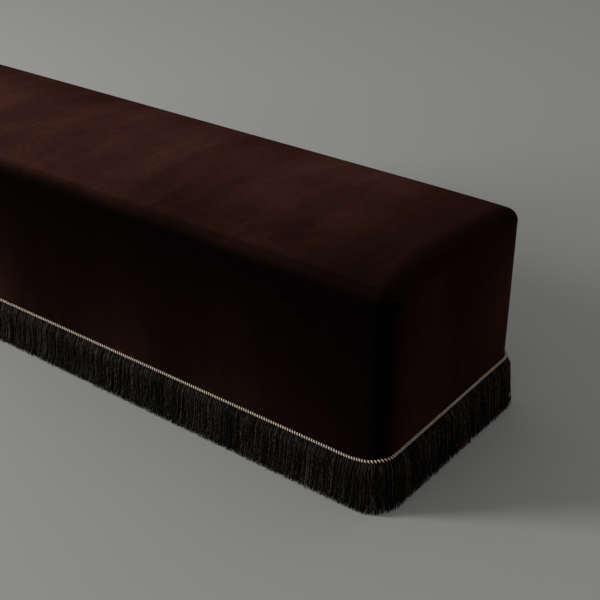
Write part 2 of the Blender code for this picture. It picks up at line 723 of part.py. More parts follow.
def comb_mesh(name, side, across, fronts, chance):
    """One run of fringe: a header that follows the side, with strands hanging from it to the floor."""
    length = run_length(side)
    strands = round(length / STRAND_PITCH)
    pitch = length / strands
    gap = pitch - STRAND_WIDTH
    cells = 2 * strands + 1
    bm = bmesh.new()
    add_box(bm, (length - 2 * FIT, HEADER_T, HEADER_H))
    long_edges = [e for e in bm.edges if abs(e.verts[0].co.x - e.verts[1].co.x) > MERGE]
    bmesh.ops.subdivide_edges(bm, edges=long_edges, cuts=cells - 1, use_grid_fill=True)
    below = [f for f in bm.faces if f.normal.z < -0.5]
    below.sort(key=lambda f: f.calc_center_median().x)
    cell_length = (length - 2 * FIT) / cells
    for vert in bm.verts:
        index = round((vert.co.x + length / 2 - FIT) / cell_length)
        if 0 < index < cells:
            pair, second = divmod(index - 1, 2)
            vert.co.x = gap / 2 + pair * pitch + second * STRAND_WIDTH - length / 2
        vert.co.y -= TRIM_FIT + HEADER_T / 2
        vert.co.z += HEADER_HIGH - HEADER_H / 2
    for face in bmesh.ops.extrude_discrete_faces(bm, faces=below[1::2])["faces"]:
        swing = chance.uniform(-STRAND_SWING, STRAND_SWING) * gap
        low = FRINGE_CLEAR + chance.uniform(0.0, STRAND_UNEVEN)
        drop = low - (HEADER_HIGH - HEADER_H)
        bmesh.ops.translate(bm, vec=(swing, -FRINGE_SPLAY, drop), verts=face.verts)
    for vert in bm.verts:
        along, out, height = vert.co.x, -vert.co.y, vert.co.z
        x, y = run_point(along, out, side, across)
        vert.co = (x, y, height * (1.0 + trim_rise(along, side, fronts) / CORD_Z))
    return to_mesh(bm, name)


def make_fringe(bench):
    """Four runs of fringe that meet at the middle of each corner."""
    chance = random.Random(STRAND_SEED)
    for run, turn, side, across, fronts in TRIM_RUNS:
        name = "fringe_" + run
        bench.place(name, comb_mesh(name, side, across, fronts, chance), "fringe", turn=turn)


def main():
    for old in list(bpy.data.objects):
        bpy.data.objects.remove(old, do_unlink=True)
    bench = Workbench()
    make_long_rails(bench)
    make_cross_timber(bench)
    make_posts(bench)
    make_panels(bench)
    make_feet(bench)
    make_webbing(bench)
    make_sheets(bench)
    make_padding(bench)
    make_cover(bench)
    make_cord(bench)
    make_fringe(bench)


main()
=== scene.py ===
"""Looks of a long bench ottoman in dark velvet, with a twisted cord and a floor-length fringe.

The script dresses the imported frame: it makes the soft pieces as surfaces worked out with numpy, gives
every piece its finish, and sets up a floor, soft light and a camera. Units are metres and +Z is up, the
length runs along X and the front faces -Y, as in the frame.
"""

import logging
import math
from dataclasses import dataclass, replace
from enum import Enum

import bmesh
import bpy
import numpy as np
from bpy.types import ID, Material, Mesh, Node, NodeSocket, Object
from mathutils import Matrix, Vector


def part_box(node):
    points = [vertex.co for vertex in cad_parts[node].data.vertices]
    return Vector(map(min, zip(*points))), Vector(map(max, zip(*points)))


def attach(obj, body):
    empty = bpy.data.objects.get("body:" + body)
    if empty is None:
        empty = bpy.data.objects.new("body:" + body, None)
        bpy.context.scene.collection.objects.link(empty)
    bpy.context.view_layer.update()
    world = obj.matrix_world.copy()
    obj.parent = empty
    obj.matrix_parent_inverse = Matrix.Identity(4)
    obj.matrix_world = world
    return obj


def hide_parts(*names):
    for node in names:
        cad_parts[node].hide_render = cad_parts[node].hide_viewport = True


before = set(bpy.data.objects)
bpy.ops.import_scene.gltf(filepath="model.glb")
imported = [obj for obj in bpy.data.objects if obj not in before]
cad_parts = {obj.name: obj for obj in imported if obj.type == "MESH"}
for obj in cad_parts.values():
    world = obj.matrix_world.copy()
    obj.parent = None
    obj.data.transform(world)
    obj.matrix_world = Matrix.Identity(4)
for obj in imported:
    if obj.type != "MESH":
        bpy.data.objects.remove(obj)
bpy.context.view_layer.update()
LOG = logging.getLogger("ottoman")
TURN = 2.0 * math.pi
QUARTER = math.pi / 2
MIRROR_X = np.array([-1.0, 1.0, 1.0])
MIRROR_Y = np.array([1.0, -1.0, 1.0])
CORD_BED = 0.00325
WELD_DISTANCE = 2e-6
Array = np.ndarray
Pair = tuple[float, float]
Colour = tuple[float, float, float]
Profile = list[tuple[Array | float, Array | float]]


def ease(t: Array | float) -> Array:
    """Smooth step: 3t^2 - 2t^3, with t cut off to 0..1."""
    t = np.clip(t, 0.0, 1.0)
    return t * t * (3.0 - 2.0 * t)


def unit(vectors: Array) -> Array:
    """Vectors of the last axis brought to length 1."""
    return vectors / np.maximum(np.linalg.norm(vectors, axis=-1, keepdims=True), 1e-12)


def grid_normals(points: Array) -> Array:
    """Unit normals of a grid of points: the cross product of its row and column differences.

    Args:
        points: Grid of shape (rows, columns, 3).

    Returns:
        Normals of the same shape, along (row step) x (column step).
    """
    return unit(np.cross(np.gradient(points, axis=0), np.gradient(points, axis=1)))


@dataclass
class Patch:
    """Points and quads of a surface, with the two grid coordinates of every quad corner."""

    points: Array
    quads: Array
    corners: Array

    @staticmethod
    def grid(
        points: Array, close_rows: bool = False, close_cols: bool = False, flip: bool = False
    ) -> "Patch":
        """Quads over a grid of points; a closed direction joins its last line to its first.

        Args:
            points: Grid of shape (rows, columns, 3).
            close_rows: Whether the last row joins the first.
            close_cols: Whether the last column joins the first.
            flip: Whether the faces turn to the other side, (row step) x (column step) being the usual one.

        Returns:
            The patch, whose corner coordinates count rows and columns without wrapping.
        """
        rows, cols = points.shape[:2]
        i, j = np.meshgrid(
            np.arange(rows - 1 + close_rows), np.arange(cols - 1 + close_cols), indexing="ij"
        )
        ring_i = np.stack([i, i + 1, i + 1, i], axis=-1).reshape(-1, 4)
        ring_j = np.stack([j, j, j + 1, j + 1], axis=-1).reshape(-1, 4)
        if flip:
            ring_i = ring_i[:, ::-1]
            ring_j = ring_j[:, ::-1]
        quads = (ring_i % rows) * cols + ring_j % cols
        return Patch(points.reshape(-1, 3), quads, np.stack([ring_i, ring_j], axis=-1).astype(float))

    @staticmethod
    def join(patches: list["Patch"]) -> "Patch":
        """One patch that holds several, each keeping its own corner coordinates."""
        starts = np.cumsum([0] + [len(p.points) for p in patches[:-1]])
        return Patch(
            np.concatenate([p.points for p in patches]),
            np.concatenate([p.quads + start for p, start in zip(patches, starts)]),
            np.concatenate([p.corners for p in patches]),
        )

    @property
    def lines(self) -> tuple[Array, Array]:
        """Row and column of every quad corner, as whole numbers."""
        return self.corners[..., 0].astype(int), self.corners[..., 1].astype(int)

    def mesh(self, name: str, welded: bool = False) -> Mesh:
        """Blender mesh of the patch, shaded smooth.

        Args:
            name: Name of the mesh.
            welded: Whether points in the same place are joined.

        Returns:
            The mesh.
        """
        mesh = bpy.data.meshes.new(name)
        mesh.vertices.add(len(self.points))
        mesh.vertices.foreach_set("co", self.points.astype(np.float32).ravel())
        mesh.loops.add(self.quads.size)
        mesh.loops.foreach_set("vertex_index", self.quads.astype(np.int32).ravel())
        mesh.polygons.add(len(self.quads))
        mesh.polygons.foreach_set("loop_start", np.arange(len(self.quads), dtype=np.int32) * 4)
        mesh.update(calc_edges=True)
        mesh.validate()
        mesh.shade_smooth()
        if welded:
            weld(mesh)
        return mesh


def tube_patch(
    centres: Array, first: Array, second: Array, radius: Array, sides: int, closed: bool
) -> Patch:
    """Tubes round many centre lines: each ring is centre + radius (first cos a + second sin a).

    Args:
        centres: Centre lines of shape (tubes, points, 3).
        first: Vectors across the lines, of the same shape.
        second: Vectors across the lines and square to the first.
        radius: Radii of shape (tubes, points).
        sides: Sides of each tube.
        closed: Whether each line closes on itself; an open tube of 4 sides gets flat ends.

    Returns:
        The patch. Its corner coordinates count points along a tube, plus whole lines of them for the
        tubes before it, and sides round it.
    """
    tubes, count = centres.shape[:2]
    turn = np.arange(sides) * (TURN / sides)
    ring = first[:, :, None] * np.cos(turn)[:, None] + second[:, :, None] * np.sin(turn)[:, None]
    points = centres[:, :, None] + radius[:, :, None, None] * ring
    one = Patch.grid(points[0], close_rows=closed, close_cols=True)
    starts = np.arange(tubes) * count * sides
    line = np.arange(tubes)[:, None, None] * count * np.array([1.0, 0.0])
    quads = (one.quads[None] + starts[:, None, None]).reshape(-1, 4)
    corners = (one.corners[None] + line[:, None]).reshape(-1, 4, 2)
    if not closed and sides == 4:
        top = starts[:, None] + np.arange(4)
        end = starts[:, None] + (count - 1) * sides + np.arange(4)[::-1]
        last = line + np.array([count - 1.0, 0.0])
        quads = np.concatenate([quads, top, end])
        corners = np.concatenate([corners, *(np.broadcast_to(at, (tubes, 4, 2)) for at in (line, last))])
    return Patch(points.reshape(-1, 3), quads, corners)


def slab(top: Array, bottom: Array) -> Patch:
    """Closed body between two grids of points: both sheets, and the four walls between their edges.

    Args:
        top: Upper grid, X in rows and Y in columns.
        bottom: Lower grid of the same shape.

    Returns:
        The patch, whose edges meet but aren't joined yet.
    """
    return Patch.join([
        Patch.grid(top),
        Patch.grid(bottom, flip=True),
        Patch.grid(np.stack([top[0], bottom[0]]), flip=True),
        Patch.grid(np.stack([top[-1], bottom[-1]])),
        Patch.grid(np.stack([top[:, 0], bottom[:, 0]])),
        Patch.grid(np.stack([top[:, -1], bottom[:, -1]]), flip=True),
    ])


def rounded_sheet(low: Vector, high: Vector, counts: tuple[int, int], corner: float) -> tuple[Array, Array]:
    """Grid over a rectangle about the origin whose corners are rounded.

    A point past a corner's centre is drawn in to it: its offset is scaled by corner / max(size, corner).

    Args:
        low: Lowest X and Y.
        high: Highest X and Y.
        counts: Points along X and along Y.
        corner: Radius of the corners.

    Returns:
        X and Y of the points, X in rows and Y in columns.
    """
    x, y = np.meshgrid(
        np.linspace(low.x, high.x, counts[0]), np.linspace(low.y, high.y, counts[1]), indexing="ij"
    )
    past_x = np.clip(np.abs(x) - high.x + corner, 0.0, corner)
    past_y = np.clip(np.abs(y) - high.y + corner, 0.0, corner)
    less = 1.0 - corner / np.maximum(np.hypot(past_x, past_y), corner)
    return np.sign(x) * (np.abs(x) - past_x * less), np.sign(y) * (np.abs(y) - past_y * less)


def turned_patch(node: str, radius: Array, height: Array, sides: int) -> Patch:
    """Body of turning: radius over height from top to bottom, turned about a node's upright axis.

    Args:
        node: Frame node whose middle the axis passes through.
        radius: Radii from top to bottom.
        height: Heights of the same places.
        sides: Points round the body.

    Returns:
        The patch, whose tips aren't joined yet.
    """
    low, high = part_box(node)
    turn = np.linspace(0.0, TURN, sides, endpoint=False)
    points = np.stack([
        (low.x + high.x) / 2.0 + radius[:, None] * np.cos(turn),
        (low.y + high.y) / 2.0 + radius[:, None] * np.sin(turn),
        np.broadcast_to(height[:, None], (len(height), sides)),
    ], axis=-1)
    return Patch.grid(points, close_cols=True)


def weld(mesh: Mesh) -> None:
    """Joins the points of a mesh that lie in the same place, and drops faces that close up."""
    work = bmesh.new()
    work.from_mesh(mesh)
    bmesh.ops.remove_doubles(work, verts=work.verts, dist=WELD_DISTANCE)
    work.to_mesh(mesh)
    work.free()
    mesh.update()


def point_vectors(mesh: Mesh, key: str) -> Array:
    """Places (co) or normals (normal) of a mesh's points, shape (points, 3)."""
    values = np.empty(len(mesh.vertices) * 3, np.float32)
    mesh.vertices.foreach_get(key, values)
    return values.reshape(-1, 3)


class Slot(Enum):
    """Names of material slots."""

    VELVET = "velvet"
    CORD = "trim_cord"
    FRINGE = "fringe"
    WADDING = "wadding"
    FOAM = "foam"
    HESSIAN = "hessian"
    WEBBING = "webbing"
    DUST_CLOTH = "dust_cloth"
    STAINED_WOOD = "stained_wood"
    NYLON = "nylon"


def link(name: str, data: ID) -> Object:
    """New object of some data, put in the scene."""
    made = bpy.data.objects.new(name, data)
    bpy.context.scene.collection.objects.link(made)
    return made


def add_piece(
    name: str,
    patch: Patch,
    material: Material,
    nodes: tuple[str, ...] = (),
    welded: bool = False,
) -> Object:
    """Puts a patch in the scene as a piece that rides on the frame.

    Args:
        name: Name of the piece.
        patch: Its surface, with its place in its points.
        material: Its finish.
        nodes: Frame nodes that the piece stands for.
        welded: Whether points in the same place are joined.

    Returns:
        The new object.
    """
    mesh = patch.mesh(name, welded)
    mesh.materials.append(material)
    piece = link(name, mesh)
    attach(piece, "root")
    if nodes:
        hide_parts(*nodes)
    LOG.info("%s: %d points, %d faces", name, len(mesh.vertices), len(mesh.polygons))
    return piece


def set_uv(mesh: Mesh, name: str, values: Array) -> None:
    """Stores a UV map given for every quad corner, shape (quads, 4, 2)."""
    layer = mesh.uv_layers.new(name=name)
    layer.data.foreach_set("uv", values.astype(np.float32).ravel())


def set_attribute(mesh: Mesh, name: str, values: Array) -> None:
    """Stores one number for every point of a mesh."""
    attribute = mesh.attributes.new(name, "FLOAT", "POINT")
    attribute.data.foreach_set("value", values.astype(np.float32).ravel())


def thicken(piece: Object, wall: float) -> None:
    """Gives a surface a wall on its inner side."""
    modifier = piece.modifiers.new("Wall", "SOLIDIFY")
    modifier.thickness = wall
    modifier.offset = -1.0
    modifier.use_even_offset = False


def subdivide(piece: Object) -> None:
    """Rounds a piece with one level of a subdivision surface."""
    modifier = piece.modifiers.new("Soften", "SUBSURF")
    modifier.levels = 1
    modifier.render_levels = 1


class Shader:
    """Short way to add the nodes of one material and join them."""

    def __init__(self, name: str, roughness: float, **inputs: float | tuple) -> None:
        """Starts a material whose constant values go straight on the shader's own sockets.

        Args:
            name: Name of the material.
            roughness: Roughness, which nodes may still drive.
            inputs: Other constant sockets, with _ for a space in their names.
        """
        self.material = bpy.data.materials.new(name)
        self.material.use_nodes = True
        self.tree = self.material.node_tree
        self.surface = self.tree.nodes["Principled BSDF"]
        self.surface.inputs["Roughness"].default_value = roughness
        for key, value in inputs.items():
            self.surface.inputs[key.replace("_", " ")].default_value = value

    def node(self, kind: str, links: dict, **settings: object) -> Node:
        """Adds a node.

        Args:
            kind: Its type, without the prefix ShaderNode.
            links: Input name or index to a socket, which is linked, or to a value, which is set.
            settings: Properties of the node.

        Returns:
            The node.
        """
        made = self.tree.nodes.new("ShaderNode" + kind)
        for key, value in settings.items():
            setattr(made, key, value)
        for key, value in links.items():
            if isinstance(value, NodeSocket):
                self.tree.links.new(value, made.inputs[key])
            else:
                made.inputs[key].default_value = value
        return made

    def place(self, scale: Colour = (1.0, 1.0, 1.0), uv: str = "") -> NodeSocket:
        """Object coordinates, or those of a UV map, stretched by a scale."""
        if uv:
            source = self.node("UVMap", {}, uv_map=uv).outputs[0]
        else:
            source = self.node("TexCoord", {}).outputs["Object"]
        return self.node("Mapping", {"Vector": source, "Scale": scale}).outputs[0]

    def attribute(self, name: str) -> NodeSocket:
        """Number that the points carry under a name."""
        return self.node("Attribute", {}, attribute_name=name).outputs["Fac"]

    def noise(self, where: NodeSocket, scale: float, detail: float) -> NodeSocket:
        """Soft noise from 0 to 1."""
        return self.node("TexNoise", {"Vector": where, "Scale": scale, "Detail": detail}).outputs[0]

    def wave(self, where: NodeSocket, scale: float, axis: str, stray: float) -> NodeSocket:
        """Bands from 0 to 1 square to an axis, pushed about by a stray amount."""
        links = {"Vector": where, "Scale": scale, "Distortion": stray, "Detail": 2.0}
        return self.node("TexWave", links, bands_direction=axis).outputs[1]

    def math(self, operation: str, first: object, second: object) -> NodeSocket:
        """Two numbers or sockets put together by an operation."""
        return self.node("Math", {0: first, 1: second}, operation=operation).outputs[0]

    def span(self, value: NodeSocket, low: float, high: float, to: tuple) -> NodeSocket:
        """Value from low..high spread over to[0]..to[1], and cut off there."""
        links = {0: value, 1: low, 2: high, 3: to[0], 4: to[1]}
        return self.node("MapRange", links).outputs[0]

    def mix(self, share: object, first: object, second: object) -> NodeSocket:
        """Colour between two colours or colour sockets, or past them where the share leaves 0..1."""
        pair = [(*c, 1.0) if isinstance(c, tuple) else c for c in (first, second)]
        links = {0: share, 6: pair[0], 7: pair[1]}
        return self.node("Mix", links, data_type="RGBA", clamp_factor=False).outputs[2]

    def ramp(self, value: NodeSocket, stops: tuple) -> NodeSocket:
        """Number that runs smoothly through stops of (value, number)."""
        made = self.node("ValToRGB", {0: value})
        made.color_ramp.interpolation = "EASE"
        while len(made.color_ramp.elements) < len(stops):
            made.color_ramp.elements.new(0.5)
        for element, (where, level) in zip(made.color_ramp.elements, stops):
            element.position = where
            element.color = (level, level, level, 1.0)
        return made.outputs[0]

    def bump(
        self, height: NodeSocket, depth: float, strength: float, under: NodeSocket | None = None
    ) -> NodeSocket:
        """Normal of a height that stands a depth proud, on top of another normal."""
        links = {"Height": height, "Distance": depth, "Strength": strength}
        if under is not None:
            links["Normal"] = under
        return self.node("Bump", links).outputs[0]

    def finish(
        self, colour: NodeSocket, normal: NodeSocket | None = None, roughness: NodeSocket | None = None
    ) -> Material:
        """Joins what drives colour, normal and roughness to the surface.

        Args:
            colour: Socket for Base Color.
            normal: Socket for Normal.
            roughness: Socket for Roughness.

        Returns:
            The finished material.
        """
        for name, value in (("Base Color", colour), ("Normal", normal), ("Roughness", roughness)):
            if value is not None:
                self.tree.links.new(value, self.surface.inputs[name])
        return self.material


@dataclass(frozen=True)
class Velvet:
    """Cut pile with a painted sheen: its colour stays dark where it faces the eye and grows lighter where it
    is seen along its surface.
    """

    deep: Colour = (0.0007, 0.0006, 0.0005)
    painted_sheen: Colour = (0.0340, 0.0123, 0.0094)
    # Painted highlight beside the seams, where light catches the parted pile.
    seam_highlight_colour: Colour = (0.0150, 0.0064, 0.0052)
    streak_stretch: Colour = (13.0, 2.6, 1.0)
    cloud_scale: float = 5.5
    fleck_scale: float = 75.0
    fleck_range: Pair = (0.86, 1.14)
    nap_range: Pair = (0.55, 1.45)
    sway_depth: float = 0.0012
    pile_scale: float = 1900.0
    pile_depth: float = 0.00012
    # Painted sheen: colour level over how far the surface turns from the eye, as stops of (facing, level).
    turns: tuple[Pair, ...] = (
        (0.0, 0.09), (0.30, 0.12), (0.38, 0.19), (0.46, 0.33), (0.50, 0.45), (0.57, 0.72), (0.66, 0.88),
        (0.70, 1.36), (0.77, 1.12), (0.86, 0.75), (1.0, 0.60),
    )

    def material(self) -> Material:
        """Painted sheen by viewing angle, times painted light and shade over the cloth, in streaks and
        clouds; a painted highlight beside the seams.
        """
        shader = Shader(
            "velvet", 0.95, Specular_IOR_Level=0.0, Sheen_Weight=0.005, Sheen_Roughness=0.5,
            Sheen_Tint=(1.0, 0.40, 0.30, 1.0),
        )
        streaks = shader.noise(shader.place(self.streak_stretch, uv="nap"), 1.0, 4.0)
        clouds = shader.noise(shader.place(), self.cloud_scale, 3.0)
        flecks = shader.noise(shader.place(), self.fleck_scale, 3.0)
        flecks = shader.span(flecks, 0.3, 0.7, self.fleck_range)
        nap = shader.span(shader.math("ADD", streaks, clouds), 0.62, 1.38, self.nap_range)
        sway = shader.bump(nap, self.sway_depth, 1.0)
        pile = shader.bump(shader.noise(shader.place(), self.pile_scale, 1.0), self.pile_depth, 0.5, sway)
        # Painted sheen: a colour set by the viewing angle, times the painted light and shade that the points
        # carry.
        facing = shader.node("LayerWeight", {"Blend": 0.5, "Normal": pile}).outputs["Facing"]
        painted_sheen = shader.math("MULTIPLY", shader.ramp(facing, self.turns), shader.attribute("lean"))
        painted_sheen = shader.math("MULTIPLY", painted_sheen, shader.math("MULTIPLY", nap, flecks))
        colour = shader.mix(painted_sheen, self.deep, self.painted_sheen)
        # Painted highlight beside the seams, mixed in by the points' own level.
        return shader.finish(shader.mix(shader.attribute("seam_highlight"), colour, self.seam_highlight_colour), pile)


@dataclass(frozen=True)
class Yarn:
    """Lustrous yarn whose tone changes at random from strand to strand, with painted glints along each
    strand.
    """

    name: str
    dark: Colour
    light: Colour
    gloss: float
    twists: float

    def material(self) -> Material:
        """Colour from the strand's own tone across the UV map, with painted glints in patches and turns of
        twist along it.
        """
        shader = Shader(self.name, self.gloss, Specular_IOR_Level=0.05)
        tone = shader.node("SeparateXYZ", {0: shader.place(uv="strand")}).outputs[0]
        # Painted glints: lighter and darker patches, and turns of twist, along each strand.
        patches = shader.noise(shader.place((97.0, 7.0, 1.0), uv="strand"), 2.0, 2.0)
        twist_glints = shader.wave(shader.place((0.0, self.twists, 0.0), uv="strand"), 1.0, "Y", 0.0)
        tone = shader.math("MULTIPLY", tone, shader.span(patches, 0.38, 0.64, (0.10, 1.8)))
        tone = shader.math("MULTIPLY", tone, shader.span(twist_glints, 0.0, 1.0, (1.15, 0.75)))
        return shader.finish(shader.mix(tone, self.dark, self.light))


@dataclass(frozen=True)
class Ply:
    """One ply of the cord: spun threads that wind the other way round it."""

    name: str
    colour: Colour
    shade: Colour

    def material(self) -> Material:
        """Threads as slanting bands over the UV map of the ply, with painted shade between them."""
        shader = Shader(self.name, 0.65, Specular_IOR_Level=0.15)
        where = shader.place(uv="ply")
        threads = shader.wave(where, 1.0, "DIAGONAL", 0.6)
        tone = shader.noise(where, 0.4, 3.0)
        # Painted shade in the lines between threads; the noise darkens the ply at random.
        colour = shader.mix(shader.span(threads, 0.1, 0.7, (0.35, 0.0)), self.colour, self.shade)
        colour = shader.mix(shader.span(tone, 0.3, 0.7, (0.25, 0.0)), colour, self.shade)
        return shader.finish(colour, shader.bump(threads, 0.0003, 0.6))


@dataclass(frozen=True)
class Wood:
    """Timber in two tones, with its grain along the axis that is stretched least."""

    name: str
    early: Colour
    late: Colour
    gloss: float
    stretch: Colour = (1.2, 22.0, 22.0)

    def material(self) -> Material:
        """Growth rings as bands pushed about by noise, fine pores over them."""
        shader = Shader(self.name, self.gloss, Specular_IOR_Level=0.4)
        where = shader.place(self.stretch)
        rings = shader.wave(where, 1.3, "Y", 6.0)
        pores = shader.noise(shader.place(tuple(9.0 * s for s in self.stretch)), 2.0, 4.0)
        colour = shader.mix(shader.span(rings, 0.2, 0.9, (0.0, 0.8)), self.early, self.late)
        colour = shader.mix(shader.span(pores, 0.55, 0.75, (0.0, 0.5)), colour, self.late)
        rough = shader.span(pores, 0.3, 0.7, (self.gloss, min(self.gloss + 0.2, 1.0)))
        return shader.finish(colour, shader.bump(pores, 0.0004, 0.4), rough)


@dataclass(frozen=True)
class Weave:
    """Plain woven cloth: warp and weft threads of two tones."""

    name: str
    warp: Colour
    weft: Colour
    threads: float
    rough: float = 0.92

    def material(self) -> Material:
        """Bands of thread along X and along Y in Object coordinates, with slubs of noise."""
        shader = Shader(self.name, self.rough, Specular_IOR_Level=0.2)
        where = shader.place()
        warp = shader.wave(where, self.threads, "X", 0.4)
        weft = shader.wave(where, self.threads, "Y", 0.4)
        over = shader.math("GREATER_THAN", warp, weft)
        slubs = shader.span(shader.noise(where, self.threads / 3.0, 3.0), 0.3, 0.7, (0.0, 0.45))
        colour = shader.mix(over, self.weft, self.warp)
        colour = shader.mix(slubs, colour, tuple(0.6 * c for c in self.weft))
        return shader.finish(colour, shader.bump(shader.math("MAXIMUM", warp, weft), 0.0004, 0.7))


@dataclass(frozen=True)
class Speckle:
    """Even stuff with a grain of its own: pressed board, foam, wadding, nylon or plated steel."""

    name: str
    colour: Colour
    fleck: Colour
    grain: float
    rough: float
    depth: float
    metal: float = 0.0
    cells: bool = False

    def material(self) -> Material:
        """Two tones by noise, or by cells, of one grain, with the same grain in the bump and the gloss."""
        shader = Shader(self.name, self.rough, Metallic=self.metal)
        where = shader.place()
        if self.cells:
            grain = shader.node("TexVoronoi", {"Vector": where, "Scale": self.grain}).outputs[0]
        else:
            grain = shader.noise(where, self.grain, 4.0)
        share = shader.span(grain, 0.35, 0.7, (0.0, 1.0))
        rough = shader.span(grain, 0.3, 0.7, (self.rough, min(self.rough + 0.12, 1.0)))
        return shader.finish(
            shader.mix(share, self.colour, self.fleck), shader.bump(grain, self.depth, 0.6), rough
        )


CREAM_PLY = Ply("cream_ply", (0.72, 0.58, 0.46), (0.36, 0.25, 0.17))
DARK_PLY = Ply("dark_ply", (0.0040, 0.0030, 0.0024), (0.0020, 0.0015, 0.0012))
FRINGE_YARN = Yarn("fringe_yarn", (0.0010, 0.0008, 0.0006), (0.046, 0.033, 0.025), 0.60, 26.0)
HEADER_YARN = Weave("header_weave", (0.016, 0.012, 0.010), (0.009, 0.007, 0.006), 260.0)
SOFTWOOD = Wood("softwood", (0.60, 0.42, 0.24), (0.40, 0.23, 0.11), 0.62)
SOFTWOOD_ACROSS = replace(SOFTWOOD, name="softwood_across", stretch=(22.0, 1.2, 22.0))
SOFTWOOD_UP = replace(SOFTWOOD, name="softwood_up", stretch=(22.0, 22.0, 1.2))
STAINED_WOOD = Wood("stained_wood", (0.040, 0.018, 0.010), (0.016, 0.007, 0.004), 0.36, (22.0, 22.0, 2.0))
HARDBOARD = Speckle("hardboard", (0.25, 0.145, 0.072), (0.17, 0.095, 0.045), 420.0, 0.72, 0.0003)
FOAM = Speckle("foam", (0.80, 0.71, 0.45), (0.66, 0.56, 0.32), 520.0, 0.95, 0.0010, cells=True)
WADDING = Speckle("wadding", (0.82, 0.82, 0.80), (0.68, 0.68, 0.66), 160.0, 0.98, 0.0020)
NYLON = Speckle("nylon", (0.30, 0.30, 0.29), (0.24, 0.24, 0.235), 600.0, 0.42, 0.0002)
ZINC = Speckle("zinc", (0.62, 0.62, 0.60), (0.46, 0.47, 0.47), 240.0, 0.30, 0.0001, metal=1.0)
HESSIAN = Weave("hessian", (0.46, 0.33, 0.19), (0.36, 0.25, 0.14), 330.0)
WEBBING = Weave("webbing", (0.34, 0.24, 0.14), (0.24, 0.165, 0.09), 300.0)
DUST_CLOTH = Weave("dust_cloth", (0.026, 0.026, 0.026), (0.014, 0.014, 0.014), 700.0)


@dataclass(frozen=True)
class Step:
    """Smooth step between two levels: first + (last - first) ease((t - start) / run)."""

    first: float
    last: float
    start: float
    run: float

    def at(self, t: Array) -> Array:
        """Level at places t."""
        return self.first + (self.last - self.first) * ease((t - self.start) / self.run)


@dataclass(frozen=True)
class Band:
    """Soft bands of brushed pile: 1 + share cos(2 pi (t - middle) / length)."""

    share: float
    middle: float
    length: float

    def at(self, t: Array) -> Array:
        """Factor at places t."""
        return 1.0 + self.share * np.cos(TURN * (t - self.middle) / self.length)


@dataclass(frozen=True)
class PaintedLightAndNap:
    """Painted light and shade over the velvet's sheen on side, rounded edge, top and end, partly bands of
    brushed pile.

    Steps and bands count from an end along the length, from the front across an end, or up from the floor.
    """

    side_low: float = 0.46
    side_high: float = 0.03
    side_start: float = 0.2
    side_run: float = 0.75
    side_end: Step = Step(0.40, 1.0, 0.0, 0.20)
    side_far: Step = Step(1.0, 0.70, 0.60, 0.20)
    side_band: Band = Band(0.25, 0.35, 0.30)
    patch: float = 0.33
    patch_middle: float = 0.29
    patch_width: float = 0.13
    roll_degrees: tuple[float, ...] = (0, 20, 35, 50, 65, 78, 90)
    roll_levels: tuple[float, ...] = (0.03, 0.25, 0.88, 1.45, 1.30, 0.90, 0.95)
    back_roll: Pair = (0.15, 0.80)
    top_front: float = 1.17
    top_fall: float = 1.0
    top_end: Step = Step(0.60, 1.0, 0.06, 0.28)
    top_band: Band = Band(0.14, 0.33, 0.45)
    end_level: float = 0.46
    end_front: Step = Step(0.42, 1.0, 0.02, 0.08)
    end_fall: Step = Step(1.15, 0.80, 0.20, 0.22)
    end_band: Band = Band(0.30, 0.12, 0.36)


@dataclass(frozen=True)
class CoverShape:
    """Sizes of the velvet cover, most of them over the padding that it wraps."""

    half_length: float
    half_depth: float
    low: float
    top: float = 0.4495
    crown: float = 0.0095
    edge_radius: float = 0.026
    corner_radius: float = 0.036
    seam_turn: float = math.radians(52.0)
    seam_height: float = 0.4252
    seam_corner: float = 0.014
    panel_roll: float = 0.012
    end_tilt: float = math.radians(45.0)
    long_droop: float = 0.003
    droop_power: int = 9
    droop_start: float = 0.55
    side_swell: float = 0.002
    hem: float = 0.030
    fold: tuple[float, ...] = (0.0010, 0.0040, 0.0120)
    fold_aside: float = 0.8
    seam_gap: float = 0.0005
    lip: float = 0.0012
    lip_width: float = 0.0040
    lip_start: float = 0.04
    wall: float = 0.0015
    pressure: float = 4.0
    main_limit: float = 0.0060
    end_limit: float = 0.0030
    # Painted highlight along the seams, where light catches the parted pile: its level, width and inset, and
    # its level on the main piece's folds.
    seam_highlight: float = 0.55
    seam_highlight_width: float = 0.0022
    seam_highlight_inset: float = 0.010
    main_seam_highlight: float = 0.04


